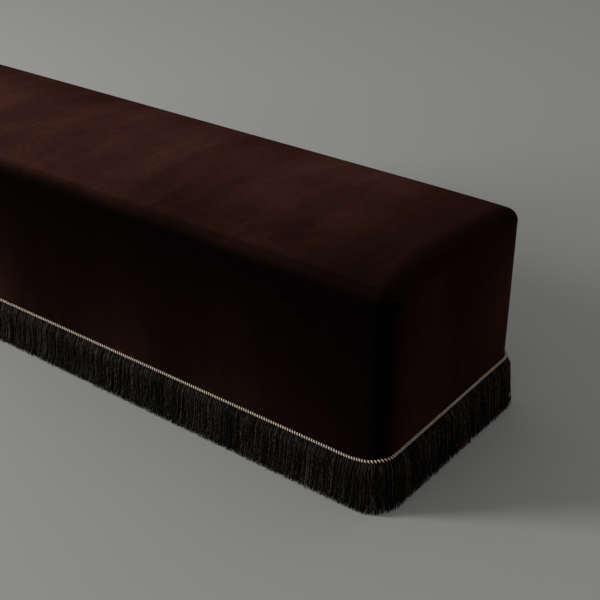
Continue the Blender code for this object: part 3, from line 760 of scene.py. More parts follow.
class VelvetCover:
    """Velvet over the padding: a main piece over front, top and back, and a panel sewn in at each end."""

    SIDE_STEPS = 24
    ROLL_STEPS = 7
    TOP_STEPS = 13
    HEM_STEPS = 2
    MID_STEPS = 92
    END_STEPS = 9
    PANEL_SIDE_ROWS = 28
    PANEL_ROLL_ROWS = 9
    PANEL_FLAT_COLS = 14
    PANEL_TURN_COLS = 7
    NEARLY = 0.999
    CLOTH_FRAMES = 20
    CLOTH = {
        "quality": 5,
        "mass": 0.4,
        "tension_stiffness": 12.0,
        "compression_stiffness": 12.0,
        "shear_stiffness": 5.0,
        "bending_stiffness": 2.0,
        "use_pressure": True,
    }
    SPREAD_PERCENT = 90.0
    EVEN_PASSES = 8

    def __init__(self) -> None:
        """Takes the cover's outer sizes from the frame."""
        low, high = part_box("cover_main")
        self.shape = CoverShape(high.x, high.y, low.z)
        self.nap = PaintedLightAndNap()
        self.material = Velvet().material()
        self.main_grid = self.main_points()
        self.panel_grid = self.panel_points()

    @property
    def seam_y(self) -> float:
        """Half the distance between the two upright seams of an end."""
        s = self.shape
        return s.half_depth - s.corner_radius * (1.0 - math.cos(s.seam_turn))

    def panel_x(self, y: Array, z: Array) -> Array:
        """Outer face of an end, as X over depth and height.

        The face is flat, turns away round the upright corners by r - sqrt(r^2 - d^2) with d the distance
        past the corner's centre, and rolls away the same way into the top seam.

        Args:
            y: Places across the end.
            z: Heights.

        Returns:
            X of the face.
        """
        s = self.shape
        aside = np.clip(np.abs(y) - (s.half_depth - s.corner_radius), 0.0, s.corner_radius * self.NEARLY)
        roll_z = s.seam_height - s.panel_roll * math.cos(s.end_tilt)
        above = np.clip(z - roll_z, 0.0, s.panel_roll * self.NEARLY)
        turn = s.corner_radius - np.sqrt(s.corner_radius**2 - aside**2)
        roll = s.panel_roll - np.sqrt(s.panel_roll**2 - above**2)
        return s.half_length - turn - roll

    def arch(self) -> dict[str, Array]:
        """Half arch from the front hem to the middle of the top, in the middle and at the end seam.

        Both run hem, side, rounded edge and top with the same number of points. The middle one has a
        swelling side (a half sine over its height), a quarter round edge and a parabolic crown. The seam
        one stands on the end's face, with its own small rounded corner.

        Returns:
            Arrays over the points: mid (y, z), seam (x, y, z), tilt (angle at which the cloth meets the
            seam), reach (length of the stretch that turns down to it), face (arch normal y, z), how far a
            point belongs to the upper part and to the crest (0 to 1), and lean (painted light and shade of
            the sheen).
        """
        s, nap = self.shape, self.nap
        edge_z = s.top - s.crown
        hem = np.linspace(1.0, 0.0, self.HEM_STEPS + 1)[:-1]
        side = np.linspace(0.0, 1.0, self.SIDE_STEPS + 1)[:-1]
        beta = np.linspace(0.0, QUARTER, self.ROLL_STEPS + 1)[:-1]
        top = np.linspace(1.0, 0.0, self.TOP_STEPS + 1)

        def lane(*levels: Array | float) -> Array:
            """Levels along hem, side, rounded edge and top, put end to end."""
            stretches = zip(levels, (hem, side, beta, top))
            return np.concatenate([np.broadcast_to(level, stretch.shape) for level, stretch in stretches])

        mid_y = lane(
            -s.half_depth + s.hem * hem,
            -s.half_depth - s.side_swell * np.sin(math.pi * side),
            -s.half_depth + s.edge_radius * (1.0 - np.cos(beta)),
            -(s.half_depth - s.edge_radius) * top,
        )
        mid_z = lane(
            s.low,
            s.low + (edge_z - s.edge_radius - s.low) * side,
            edge_z - s.edge_radius * (1.0 - np.sin(beta)),
            edge_z + s.crown * (1.0 - top**2),
        )
        seam_y = lane(
            -self.seam_y + s.hem * math.cos(s.seam_turn) * hem,
            -self.seam_y,
            -self.seam_y + s.seam_corner * (1.0 - np.cos(beta)),
            -(self.seam_y - s.seam_corner) * top,
        )
        seam_z = lane(
            s.low,
            s.low + (s.seam_height - s.seam_corner - s.low) * side,
            s.seam_height - s.seam_corner * (1.0 - np.sin(beta)),
            s.seam_height,
        )
        seam_x = self.panel_x(seam_y, seam_z)
        seam_x[: len(hem)] = self.panel_x(np.array(-self.seam_y), np.array(s.low))
        seam_x[: len(hem)] -= s.hem * math.sin(s.seam_turn) * hem
        crest = lane(0.0, 0.0, ease(beta / QUARTER), 1.0)
        side_reach = s.corner_radius * math.sin(s.seam_turn)
        top_reach = np.maximum(mid_z - s.seam_height, 0.0) / math.tan(s.end_tilt / 2)
        fall = np.clip((side - nap.side_start) / nap.side_run, 0.0, 1.0)
        return {
            "mid": np.stack([mid_y, mid_z], axis=1),
            "seam": np.stack([seam_x, seam_y, seam_z], axis=1),
            "tilt": s.seam_turn + (s.end_tilt - s.seam_turn) * crest,
            "reach": side_reach + (top_reach - side_reach) * crest,
            "face": np.stack([
                lane(0.0, -1.0, -np.cos(beta), 0.0), lane(-1.0, 0.0, np.sin(beta), 1.0)
            ], axis=1),
            "belongs": lane(0.0, ease((side - s.droop_start) / (1.0 - s.droop_start)), 1.0, 1.0),
            "crest": crest,
            # Painted light and shade: darker up the side, by a table over the rounded edge, full on the top.
            "lean": lane(
                nap.side_low,
                nap.side_low + (nap.side_high - nap.side_low) * fall,
                np.interp(np.degrees(beta), nap.roll_degrees, nap.roll_levels),
                1.0,
            ),
        }

    def main_points(self) -> Array:
        """Main piece as a grid: X from seam to seam in rows, the arch from hem to hem in columns.

        Between the ends a row repeats the middle arch. Towards an end each point of the arch runs along
        a circular turn: x = start + reach sin(a) / sin(tilt), and the arch moves towards the seam by
        (1 - cos a) / (1 - cos tilt), with a from 0 to tilt. Past the seam the cloth folds in along its
        normal. The back half mirrors the front.

        Returns:
            Grid of shape (rows, columns, 3).
        """
        s = self.shape
        arch = self.arch()
        mid, seam, tilt = arch["mid"], arch["seam"], arch["tilt"]
        start = seam[:, 0] - arch["reach"]
        share = np.linspace(0.0, 1.0, self.MID_STEPS // 2 + 1)[:, None]
        straight = np.stack(np.broadcast_arrays(share * start, mid[:, 0], mid[:, 1]), axis=-1)
        angle = np.linspace(0.0, 1.0, self.END_STEPS + 1)[1:, None] * tilt
        gone = ((1.0 - np.cos(angle)) / (1.0 - np.cos(tilt)))[..., None]
        yz = mid + (seam[:, 1:] - mid) * gone
        x = start + arch["reach"] * np.sin(angle) / np.sin(tilt)
        turn = np.concatenate([x[..., None], yz], axis=-1)
        rows = np.concatenate([straight, turn])
        late = (np.abs(rows[..., 0]) / s.half_length) ** s.droop_power
        kept = np.concatenate([np.ones(len(share)), 1.0 - gone[:, -1, 0]])[:, None]
        rows[..., 2] -= s.long_droop * late * kept * arch["belongs"]
        sine, cosine = np.sin(tilt)[:, None], np.cos(tilt)[:, None]
        inward = -np.concatenate([sine, cosine * arch["face"]], axis=1)
        onward = np.concatenate([cosine, -sine * arch["face"]], axis=1)
        depth = np.array(s.fold)[:, None, None]
        folds = seam + depth * inward + s.seam_gap * ease(depth / s.fold[1]) * onward
        half = np.concatenate([rows, folds])
        half = np.concatenate([half[:0:-1] * MIRROR_X, half])
        return np.concatenate([half, half[:, -2::-1] * MIRROR_Y], axis=1)

    def panel_points(self) -> Array:
        """Right end panel as a grid: heights in rows, depth in columns, folded in along its seams.

        Each row spans the width that the seam leaves at its height, which narrows by a circle at the two
        upper corners. The face is panel_x, with a small lip beside the seam: lip exp(-(d / width)^2),
        where d is the distance to the seam. The outermost rows and columns fold in along the normal.

        Returns:
            Grid of shape (rows, columns, 3).
        """
        s = self.shape
        folds = np.array(s.fold)
        seam_y = self.seam_y - s.seam_gap
        seam_z = s.seam_height - s.seam_gap
        corner_z = seam_z - s.seam_corner
        heights = np.concatenate([
            np.linspace(s.low, corner_z, self.PANEL_SIDE_ROWS)[:-1],
            corner_z + s.seam_corner * np.sin(np.linspace(0.0, QUARTER, self.PANEL_ROLL_ROWS)),
        ])
        flat = (s.half_depth - s.corner_radius) / seam_y
        across = np.concatenate([
            np.linspace(0.0, flat, self.PANEL_FLAT_COLS)[:-1], np.linspace(flat, 1.0, self.PANEL_TURN_COLS)
        ])
        across = np.concatenate([-across[:0:-1], across])
        z, part = np.meshgrid(heights, across, indexing="ij")
        over = np.clip(z - corner_z, 0.0, s.seam_corner)
        width = seam_y - s.seam_corner + np.sqrt(np.maximum(s.seam_corner**2 - over**2, 0.0))
        y = width * part
        to_seam = np.minimum(width - np.abs(y), seam_z - z)
        lip = s.lip * np.exp(-((to_seam / s.lip_width) ** 2)) * ease((z - s.low) / s.lip_start)
        face = np.stack([self.panel_x(y, z) + lip, y, z], axis=-1)
        pad_rows = np.concatenate([np.zeros(len(heights)), folds])
        pad_cols = np.concatenate([folds[::-1], np.zeros(len(across)), folds])
        depth = np.hypot(pad_rows[:, None], s.fold_aside * pad_cols[None, :])[..., None]
        margin = ((0, len(folds)), (len(folds), len(folds)), (0, 0))
        held = np.pad(face, margin, mode="edge")
        sheet = held + np.pad(grid_normals(face), margin, mode="edge") * depth
        hem = np.linspace(s.hem, 0.0, self.HEM_STEPS + 1)[:-1, None, None]
        return np.concatenate([sheet[:1] - hem * np.array([1.0, 0.0, 0.0]), sheet])

    def swell(self, piece: Object, held: Array, limit: float) -> None:
        """Lets a piece swell as cloth over its padding, held along its seams, and keeps the result.

        The padding pushes with an even pressure, without weight, and holds the cloth from inside: of a
        point's movement only the outward part d along its normal is kept, as limit tanh(d / spread),
        where nine points in ten stay below the spread. The padding then evens it out between neighbours.

        Args:
            piece: The cloth.
            held: For every point of its grid, shape (rows, columns), whether it is sewn or tacked down.
            limit: Furthest that a point may move.
        """
        mesh = piece.data
        start, normal = point_vectors(mesh, "co"), point_vectors(mesh, "normal")
        sewn = piece.vertex_groups.new(name="sewn")
        sewn.add(np.flatnonzero(held).tolist(), 1.0, "REPLACE")
        cloth = piece.modifiers.new("Cloth", "CLOTH")
        for key, value in self.CLOTH.items():
            setattr(cloth.settings, key, value)
        cloth.settings.uniform_pressure_force = self.shape.pressure
        cloth.settings.vertex_group_mass = sewn.name
        cloth.settings.effector_weights.gravity = 0.0
        cloth.collision_settings.use_collision = False
        cloth.point_cache.frame_start = 1
        cloth.point_cache.frame_end = self.CLOTH_FRAMES
        scene = bpy.context.scene
        for step in range(1, self.CLOTH_FRAMES + 1):
            scene.frame_set(step)
        shaped = piece.evaluated_get(bpy.context.evaluated_depsgraph_get())
        end = point_vectors(shaped.data, "co")
        scene.frame_set(1)
        piece.modifiers.remove(cloth)
        piece.vertex_groups.remove(sewn)
        outward = np.maximum(((end - start) * normal).sum(axis=1), 0.0)
        spread = max(float(np.percentile(outward, self.SPREAD_PERCENT)), limit)
        move = (limit * np.tanh(outward / spread)).reshape(held.shape)
        for _ in range(self.EVEN_PASSES):
            wide = np.pad(move, 1, mode="edge")
            around = wide[:-2, 1:-1] + wide[2:, 1:-1] + wide[1:-1, :-2] + wide[1:-1, 2:]
            move = np.where(held, 0.0, 0.5 * move + around / 8.0)
        mesh.vertices.foreach_set("co", (start + normal * move.reshape(-1, 1)).astype(np.float32).ravel())
        mesh.update()
        LOG.info("%s swelled by up to %.1f mm, spread %.1f mm", piece.name, 1e3 * move.max(), 1e3 * spread)

    def seam_highlight_of(self, points: Array) -> Array:
        """Painted highlight beside an end's top seam: level exp(-(d / width)^2), d the distance to the seam.
        """
        s = self.shape
        inner = np.clip(s.half_length - s.seam_highlight_inset - np.abs(points[..., 0]), 0.0, 1.0)
        away = np.abs(points[..., 2] - s.seam_height) + 0.5 * inner
        return s.seam_highlight * np.exp(-((away / s.seam_highlight_width) ** 2))

    def main_painted_light(self, points: Array) -> Array:
        """Painted light and shade over the main piece, partly broad soft bands of brushed pile.

        The arch's own lean is lessened towards the ends and, on the top, towards the back, both as smooth
        steps or straight lines. It rises and falls along the length in bands, and the side has a brighter
        patch, 1 + share exp(-((u - middle) / width)^2), with u the distance from the end.

        Args:
            points: Grid of the main piece.

        Returns:
            Painted light and shade of every point, shape (rows, columns).
        """
        nap, arch = self.nap, self.arch()
        half, crest = arch["lean"], arch["crest"]
        low, high = nap.back_roll
        back = np.where((crest > 0.0) & (crest < 1.0), low + (high - low) * crest, half)
        lean = np.concatenate([half, back[-2::-1]])
        crest = np.concatenate([crest, crest[-2::-1]])
        u = self.shape.half_length - np.abs(points[..., 0])
        y = points[..., 1] + self.shape.half_depth
        top = (nap.top_front - nap.top_fall * y) * nap.top_end.at(u) * nap.top_band.at(u)
        side = nap.side_end.at(u) * nap.side_band.at(u) * nap.side_far.at(u)
        side = side * (1.0 + nap.patch * np.exp(-(((u - nap.patch_middle) / nap.patch_width) ** 2)))
        return lean * (side + (top - side) * crest)

    def panel_painted_light(self, points: Array) -> Array:
        """Painted light and shade over an end: darker at the front seam, lighter towards the hem, partly
        broad bands of brushed pile.
        """
        nap = self.nap
        y = points[..., 1] + self.shape.half_depth
        return nap.end_level * nap.end_band.at(y) * nap.end_fall.at(points[..., 2]) * nap.end_front.at(y)

    def dress(self, piece: Object, seam_highlight: Array, lean: Array) -> None:
        """Stores the painted seam highlight and the painted light and shade of the pile, rounds the cloth
        and gives it its wall.

        Args:
            piece: The cloth.
            seam_highlight: Painted highlight along the seams at every point.
            lean: Painted light and shade of the sheen at every point.
        """
        # Painted highlight along the seams and painted light and shade, kept on the points for the velvet.
        set_attribute(piece.data, "seam_highlight", seam_highlight)
        set_attribute(piece.data, "lean", lean)
        subdivide(piece)
        thicken(piece, self.shape.wall)

    def build_main(self) -> None:
        """Main piece, from seam to seam and hem to hem."""
        points = self.main_grid
        patch = Patch.grid(points)
        piece = add_piece("velvet_main", patch, self.material, ("cover_main",))
        steps = np.linalg.norm(np.diff(points[len(points) // 2], axis=0), axis=1)
        run = np.concatenate([[0.0], np.cumsum(steps)])
        i, j = patch.lines
        set_uv(piece.data, "nap", np.stack([points[i, j, 0], run[j]], axis=-1))
        rows, cols = points.shape[:2]
        row, col = np.indices((rows, cols))
        fold = len(self.shape.fold)
        edge = (row <= fold) | (row >= rows - 1 - fold)
        hem = (col <= self.HEM_STEPS) | (col >= cols - 1 - self.HEM_STEPS)
        self.swell(piece, edge | hem, self.shape.main_limit)
        # Painted highlight along the seam folds, and painted light and shade over the piece.
        self.dress(piece, np.where(edge, self.shape.main_seam_highlight, 0.0), self.main_painted_light(points))

    def build_panel(self, side: str, sign: float) -> None:
        """End panel of one side.

        Args:
            side: Name of the side, left or right.
            sign: Which way it lies along X.
        """
        points = self.panel_grid * np.array([sign, 1.0, 1.0])
        patch = Patch.grid(points, flip=sign > 0.0)
        piece = add_piece("velvet_end_" + side, patch, self.material, ("cover_end_" + side,))
        set_uv(piece.data, "nap", points[patch.lines][..., 1:] + np.array([2.0 + sign, 3.0]))
        rows, cols = points.shape[:2]
        row, col = np.indices((rows, cols))
        fold = len(self.shape.fold)
        edge = (row >= rows - 1 - fold) | (col <= fold) | (col >= cols - 1 - fold)
        self.swell(piece, edge | (row <= self.HEM_STEPS), self.shape.end_limit)
        # Painted highlight beside the top seam, and painted light and shade over the end.
        self.dress(piece, self.seam_highlight_of(points), self.panel_painted_light(points))

    def build(self) -> None:
        """Builds and dresses the three pieces."""
        self.build_main()
        for side, sign in (("left", -1.0), ("right", 1.0)):
            self.build_panel(side, sign)


@dataclass(frozen=True)
class TrimRoute:
    """Way round the body on which cord, header and fringe lie: straight sides and round corners."""

    half_length: float
    half_depth: float
    radius: float = 0.036
    corner_rise: float = 0.011
    corner_start: float = -0.065
    corner_run: float = 0.075
    end_rise: float = 0.009
    end_start: float = 0.05
    end_run: float = 0.38

    @property
    def pieces(self) -> Array:
        """Lengths from the front's middle: half front, then corner and side in turn, then half front."""
        long = self.half_length - self.radius
        short = 2.0 * (self.half_depth - self.radius)
        arc = self.radius * QUARTER
        return np.array([long, arc, short, arc, 2.0 * long, arc, short, arc, long])

    @property
    def length(self) -> float:
        """Length of the whole way round, on the velvet."""
        return float(self.pieces.sum())

    @property
    def corners(self) -> Array:
        """Places of the four corners' middles along the way."""
        ends = np.cumsum(self.pieces)
        return ends[1::2] - self.radius * math.pi / 4

    def at(self, along: Array) -> tuple[Array, Array, Array]:
        """Place on the velvet, outward direction and climb at distances along the way.

        On a straight piece the place runs along it. On a corner it is centre + radius times the outward
        direction, which turns evenly. The climb is a smooth step before a front corner's middle, and then
        grows in a straight line along the end to the back.

        Args:
            along: Distances from the middle of the front, towards +X, wrapping round.

        Returns:
            Places (..., 3) at height 0, unit directions (..., 3) and climbs (...).
        """
        along = np.mod(along, self.length)
        ends = np.cumsum(self.pieces)
        which = np.minimum(np.searchsorted(ends, along, side="right"), len(ends) - 1)
        past = along - (ends - self.pieces)[which]
        heading = (which // 2) * QUARTER + np.where(which % 2 == 1, past / self.radius, 0.0)
        out = np.stack([np.sin(heading), -np.cos(heading), 0.0 * heading], axis=-1)
        ahead = np.stack([np.cos(heading), np.sin(heading), 0.0 * heading], axis=-1)
        signs = np.array([(0, -1), (1, -1), (1, -1), (1, 1), (1, 1), (-1, 1), (-1, 1), (-1, -1), (-1, -1)])
        centre = np.zeros(out.shape)
        centre[..., :2] = signs[which] * (self.half_length - self.radius, self.half_depth - self.radius)
        slide = np.where(which % 2 == 0, past, 0.0)[..., None]
        place = centre + slide * ahead + self.radius * out
        first, last = self.corners[[0, -1]]
        past = np.minimum(along - first, last - along)
        climb = self.corner_rise * ease((past - self.corner_start) / self.corner_run)
        climb = climb + self.end_rise * np.clip((past - self.end_start) / self.end_run, 0.0, 1.0)
        return place, out, climb


@dataclass
class TrimCord:
    """Cord of a cream and a dark ply wound side by side round a dark core, sewn along the fringe's top.

    CREAM, DARK and CORE give a ply's start, radius and inset, as ply takes them.
    """

    CREAM = (0.0, 0.37, 0.05)
    DARK = (0.5, 0.40, 0.0)
    CORE = (0.5, 0.48, 0.36)

    route: TrimRoute
    centre_out: float
    centre_z: float
    radius: float = 0.0032
    lay: float = 0.00565
    steps: int = 10
    sides: int = 6
    threads: float = 3.0

    def ply(self, phase: float, share: float, inset: float) -> Patch:
        """One ply: a tube round a helix that winds about the cord's centre line.

        The helix is centre + reach (out cos t + up sin t) with t falling by a full turn each lay.

        Args:
            phase: Where the ply starts, as a part of a turn.
            share: Its radius as a part of the cord's.
            inset: How much further in its helix runs, as a part of the cord's radius.

        Returns:
            The closed tube.
        """
        turns = round(self.route.length / self.lay)
        along = np.arange(turns * self.steps) * (self.route.length / (turns * self.steps))
        place, out, climb = self.route.at(along)
        up = np.array([0.0, 0.0, 1.0])
        turn = (phase - along * turns / self.route.length) * TURN
        spoke = out * np.cos(turn)[:, None] + up * np.sin(turn)[:, None]
        thick = self.radius * share
        centre = place + out * self.centre_out + up * (self.centre_z + climb)[:, None]
        line = centre + spoke * (self.radius * (1.0 - inset) - thick)
        ahead = unit(np.roll(line, -1, axis=0) - np.roll(line, 1, axis=0))
        side = np.cross(ahead, spoke)
        return tube_patch(
            line[None], spoke[None], side[None], np.full((1, len(line)), thick), self.sides, True
        )

    def build(self) -> None:
        """Two pieces, one of each colour, which stand for the cord together; the dark one has the core."""
        plies = (
            ("cord_cream", CREAM_PLY, self.ply(*self.CREAM)),
            ("cord_dark", DARK_PLY, Patch.join([self.ply(*self.DARK), self.ply(*self.CORE)])),
        )
        for name, finish, patch in plies:
            piece = add_piece(name, patch, finish.material(), ("trim_cord",))
            set_uv(piece.data, "ply", patch.corners * self.threads / np.array([self.steps, self.sides]))


@dataclass(frozen=True)
class FringeShape:
    """Sizes of the fringe; distances out are from the velvet, and pairs are a lowest and a highest value."""

    top: float
    points: int = 9
    floor: float = 0.0004
    uneven: float = 0.0045
    uneven_power: float = 2.5
    spacing: Pair = (0.1, 0.9)
    down_power: float = 0.85
    clump: float = 0.0075
    clump_pull: float = 0.22
    drift_lengths: Colour = (0.041, 0.097, 0.23)
    drift_sizes: Colour = (0.0009, 0.0013, 0.0016)
    swing: float = 0.0012
    swing_power: float = 1.4
    stray_share: float = 0.035
    stray_swing: float = 0.008
    stray_out: Pair = (-0.002, 0.004)
    wave: Pair = (0.0003, 0.0011)
    wave_turns: Pair = (1.4, 3.2)
    wave_start: float = 0.15
    overlap: float = 0.002
    shoulder_end: float = 0.17
    kick_start: float = 0.72
    front_kick: float = 0.006
    other_kick: float = 0.001
    out_swing: float = 0.0009
    out_wave: Pair = (0.0, 0.0007)
    out_turns: Pair = (1.0, 2.5)
    out_limits: Pair = (0.0015, 0.0232)
    twist: Pair = (-0.6, 0.6)
    thickness: Pair = (0.8, 1.2)
    tip_taper: float = 0.15
    tip_power: int = 8
    flat: float = 0.62
    tone_power: float = 1.8
    corner_fill: float = 0.020
    header_step: float = 0.006
    header_sides: int = 12
    header_out: float = 0.0024
    header_wall: float = 0.0018
    header_drop: float = 0.0060
    header_half: float = 0.0066
    seed: int = 11


@dataclass(frozen=True)
class StrandLayer:
    """One layer of strands: distances out at its top, shoulder and floor, pitch, radius, range of tones."""

    first: float
    shoulder: float
    hang: float
    pitch: float
    radius: float
    dim: float
    bright: float


class FringeLayer(Enum):
    """Layers of strands, from the velvet outwards; deeper layers take darker tones as painted shade."""

    BACK = StrandLayer(0.0030, 0.0070, 0.0120, 0.0029, 0.00150, 0.00, 0.03)
    MIDDLE = StrandLayer(0.0040, 0.0105, 0.0170, 0.0021, 0.00095, 0.00, 0.16)
    FRONT = StrandLayer(0.0048, 0.0130, 0.0205, 0.0023, 0.00080, 0.01, 0.90)


class Fringe:
    """Cut fringe in four runs, of thousands of wavy strands in three layers, and its woven header."""

    def __init__(self, route: TrimRoute, shape: FringeShape) -> None:
        """Keeps the way round and the sizes, and starts the chance draws."""
        self.route = route
        self.shape = shape
        self.chance = np.random.default_rng(shape.seed)
        self.material = FRINGE_YARN.material()

    def thin_out(self, spread: Array, length: float) -> Array:
        """Places along a run for evenly spread strands, closer together over the corner at each end.

        The run's last stretches, a quarter turn's half each, are stretched by 1 + fill / radius before the
        strands are spread, and the strands are then drawn back on to the run by the inverse, which is
        linear over each stretch.

        Args:
            spread: Places along the stretched run, from 0.
            length: Length of the run itself.

        Returns:
            Places along the run, from 0.
        """
        arc = self.route.radius * math.pi / 4
        more = arc + self.shape.corner_fill * math.pi / 4
        middle = length - 2.0 * arc
        stretched = (0.0, more, more + middle, 2.0 * more + middle)
        return np.interp(spread, stretched, (0.0, arc, length - arc, length))

    def strands(
        self, start: float, end: float, layer: StrandLayer, kick: float
    ) -> tuple[Array, Array, Array, Array]:
        """Centre lines of one layer of one run.

        A strand leaves the header, bends out over a shoulder and hangs to the floor, leaning out as it
        goes. Along the run it drifts with its neighbours (a sum of sines), is drawn towards the middle
        of its clump, swings by its own small amount and waves by a sine. A few strays swing further.

        Args:
            start: Where the run starts along the way round.
            end: Where it ends.
            layer: Which layer.
            kick: How far the tips spread out over the floor.

        Returns:
            Centre lines (strands, points, 3), the long and the short half axes across them, which turn
            along each strand, and the radii (strands, points).
        """
        s, chance = self.shape, self.chance
        length = end - start
        stretched = length + QUARTER * s.corner_fill
        count = int(stretched / layer.pitch)
        down = np.linspace(0.0, 1.0, s.points) ** s.down_power

        def draw(limits: Pair) -> Array:
            """Chance number between two limits for every strand, as a column."""
            return chance.uniform(*limits, count)[:, None]

        def ripple(sizes: Pair, turns: Pair) -> Array:
            """Waves down the strands: size sin(2 pi (turns d + phase)), all three by chance."""
            size = draw(sizes)
            return size * np.sin(TURN * (down * draw(turns) + chance.random(count)[:, None]))

        spread = (np.arange(count) + chance.uniform(*s.spacing, count)) * stretched / count
        base = start + self.thin_out(spread, length)
        clumps = np.sort(chance.uniform(start, end, int(length / s.clump)))
        near = clumps[np.clip(np.searchsorted(clumps, base), 0, len(clumps) - 1)]
        drawn = np.clip(near - base, -s.clump, s.clump) * chance.uniform(0.0, s.clump_pull, count)
        phases = chance.uniform(0.0, TURN, len(s.drift_sizes))
        drift = np.sin(base[:, None] / np.array(s.drift_lengths) * TURN + phases) * s.drift_sizes
        swing = chance.normal(0.0, s.swing, count)
        stray = chance.random(count) < s.stray_share
        swing = np.where(stray, chance.normal(0.0, s.stray_swing, count), swing)
        wave = ripple(s.wave, s.wave_turns)
        lean = (drawn + drift.sum(axis=1) + swing)[:, None] * down**s.swing_power
        along = base[:, None] + lean + wave * ease(down / s.wave_start)
        along = np.clip(along, start - s.overlap, end + s.overlap)
        bend = np.sqrt(ease(down / s.shoulder_end))
        outer = layer.first + (layer.shoulder - layer.first) * bend + (layer.hang - layer.shoulder) * down
        outer = outer + kick * ease((down - s.kick_start) / (1.0 - s.kick_start))
        outer = outer + chance.normal(0.0, s.out_swing, count)[:, None] * down
        outer = outer + np.where(stray[:, None], draw(s.stray_out), 0.0) * down**2
        outer = outer + ripple(s.out_wave, s.out_turns)
        outer = np.clip(outer, s.out_limits[0], s.out_limits[1] + kick)
        place, out, climb = self.route.at(along)
        low = s.floor + s.uneven * chance.random(count) ** s.uneven_power
        z = s.top + (low[:, None] - s.top) * down
        centre = place + out * outer[..., None]
        centre[..., 2] = z + climb * z / s.top
        ahead = np.stack([-out[..., 1], out[..., 0], out[..., 2]], axis=-1)
        turn = TURN * (chance.random(count)[:, None] + down * draw(s.twist))[..., None]
        wide = ahead * np.cos(turn) + out * np.sin(turn)
        thin = (out * np.cos(turn) - ahead * np.sin(turn)) * s.flat
        radius = layer.radius * draw(s.thickness) * (1.0 - s.tip_taper * down**s.tip_power)
        return centre, wide, thin, radius

    def build_run(self, name: str, start: float, end: float, kick: float) -> None:
        """One run of strands, three layers deep.

        Args:
            name: Name of the run.
            start: Where it starts along the way round.
            end: Where it ends.
            kick: How far the tips spread out over the floor.
        """
        points = self.shape.points
        layers = []
        tones = []
        for layer in (member.value for member in FringeLayer):
            patch = tube_patch(*self.strands(start, end, layer, kick), 4, False)
            line = np.floor(patch.corners[..., 0].mean(axis=1) / points)
            chances = self.chance.random(int(line.max()) + 1)[line.astype(int)]
            # Deeper layers take darker tones: painted shade between the strands.
            tone = layer.dim + (layer.bright - layer.dim) * chances**self.shape.tone_power
            part = np.mod(patch.corners[..., 0] - line[:, None] * points, points) / (points - 1)
            tones.append(np.stack([np.broadcast_to(tone[:, None], part.shape), part], axis=-1))
            layers.append(patch)
        patch = Patch.join(layers)
        piece = add_piece("strands_" + name, patch, self.material, ("fringe_" + name,))
        set_uv(piece.data, "strand", np.concatenate(tones))

    def build_header(self) -> None:
        """Woven band that the strands hang from: a rounded bar carried all the way round.

        The bar is a flattened superellipse, out = middle + half cos^(1/2), z = middle + half sin^(1/2).
        """
        s = self.shape
        steps = int(self.route.length / s.header_step)
        place, out, climb = self.route.at(np.arange(steps) * self.route.length / steps)
        turn = np.linspace(0.0, TURN, s.header_sides, endpoint=False)
        wave = np.stack([np.cos(turn), np.sin(turn)])
        aside, above = np.sign(wave) * np.sqrt(np.abs(wave))
        points = place[:, None] + out[:, None] * (s.header_out + s.header_wall * aside)[:, None]
        points[..., 2] = (s.top - s.header_drop + s.header_half * above) * (1.0 + climb[:, None] / s.top)
        patch = Patch.grid(points, close_rows=True, close_cols=True)
        add_piece("fringe_header", patch, HEADER_YARN.material())

    def build(self) -> None:
        """Four runs that meet at the corners' middles, and the header behind them."""
        s = self.shape
        first, second, third, fourth = self.route.corners
        for run in (
            ("front", fourth - self.route.length, first, s.front_kick),
            ("right", first, second, s.other_kick),
            ("back", second, third, s.other_kick),
            ("left", third, fourth, s.other_kick),
        ):
            self.build_run(*run)
        self.build_header()


@dataclass(frozen=True)
class PaddingShape:
    """Sizes of the layers under the velvet, measured in from its outer face."""

    wadding_in: float = 0.0030
    wadding_wall: float = 0.0080
    wadding_lift: float = 0.0040
    wadding_margin: int = 2
    wadding_end_rows: int = 7
    foam_in: float = 0.0132
    hessian_counts: tuple[int, int] = (121, 33)
    hessian_corner: float = 0.026
    hessian_wave: float = 0.0001
    hessian_waves: Pair = (44.0, 52.0)
    strap_width: float = 0.050
    strap_wall: float = 0.0011
    strap_parts: tuple[float, ...] = (-1.0, -0.97, -0.5, 0.0, 0.5, 0.97, 1.0)
    strap_walls: tuple[float, ...] = (0.4, 1.0, 1.0, 1.0, 1.0, 1.0, 0.4)
    cross_straps: int = 12
    cross_points: int = 61
    long_straps: int = 3
    long_points: int = 241


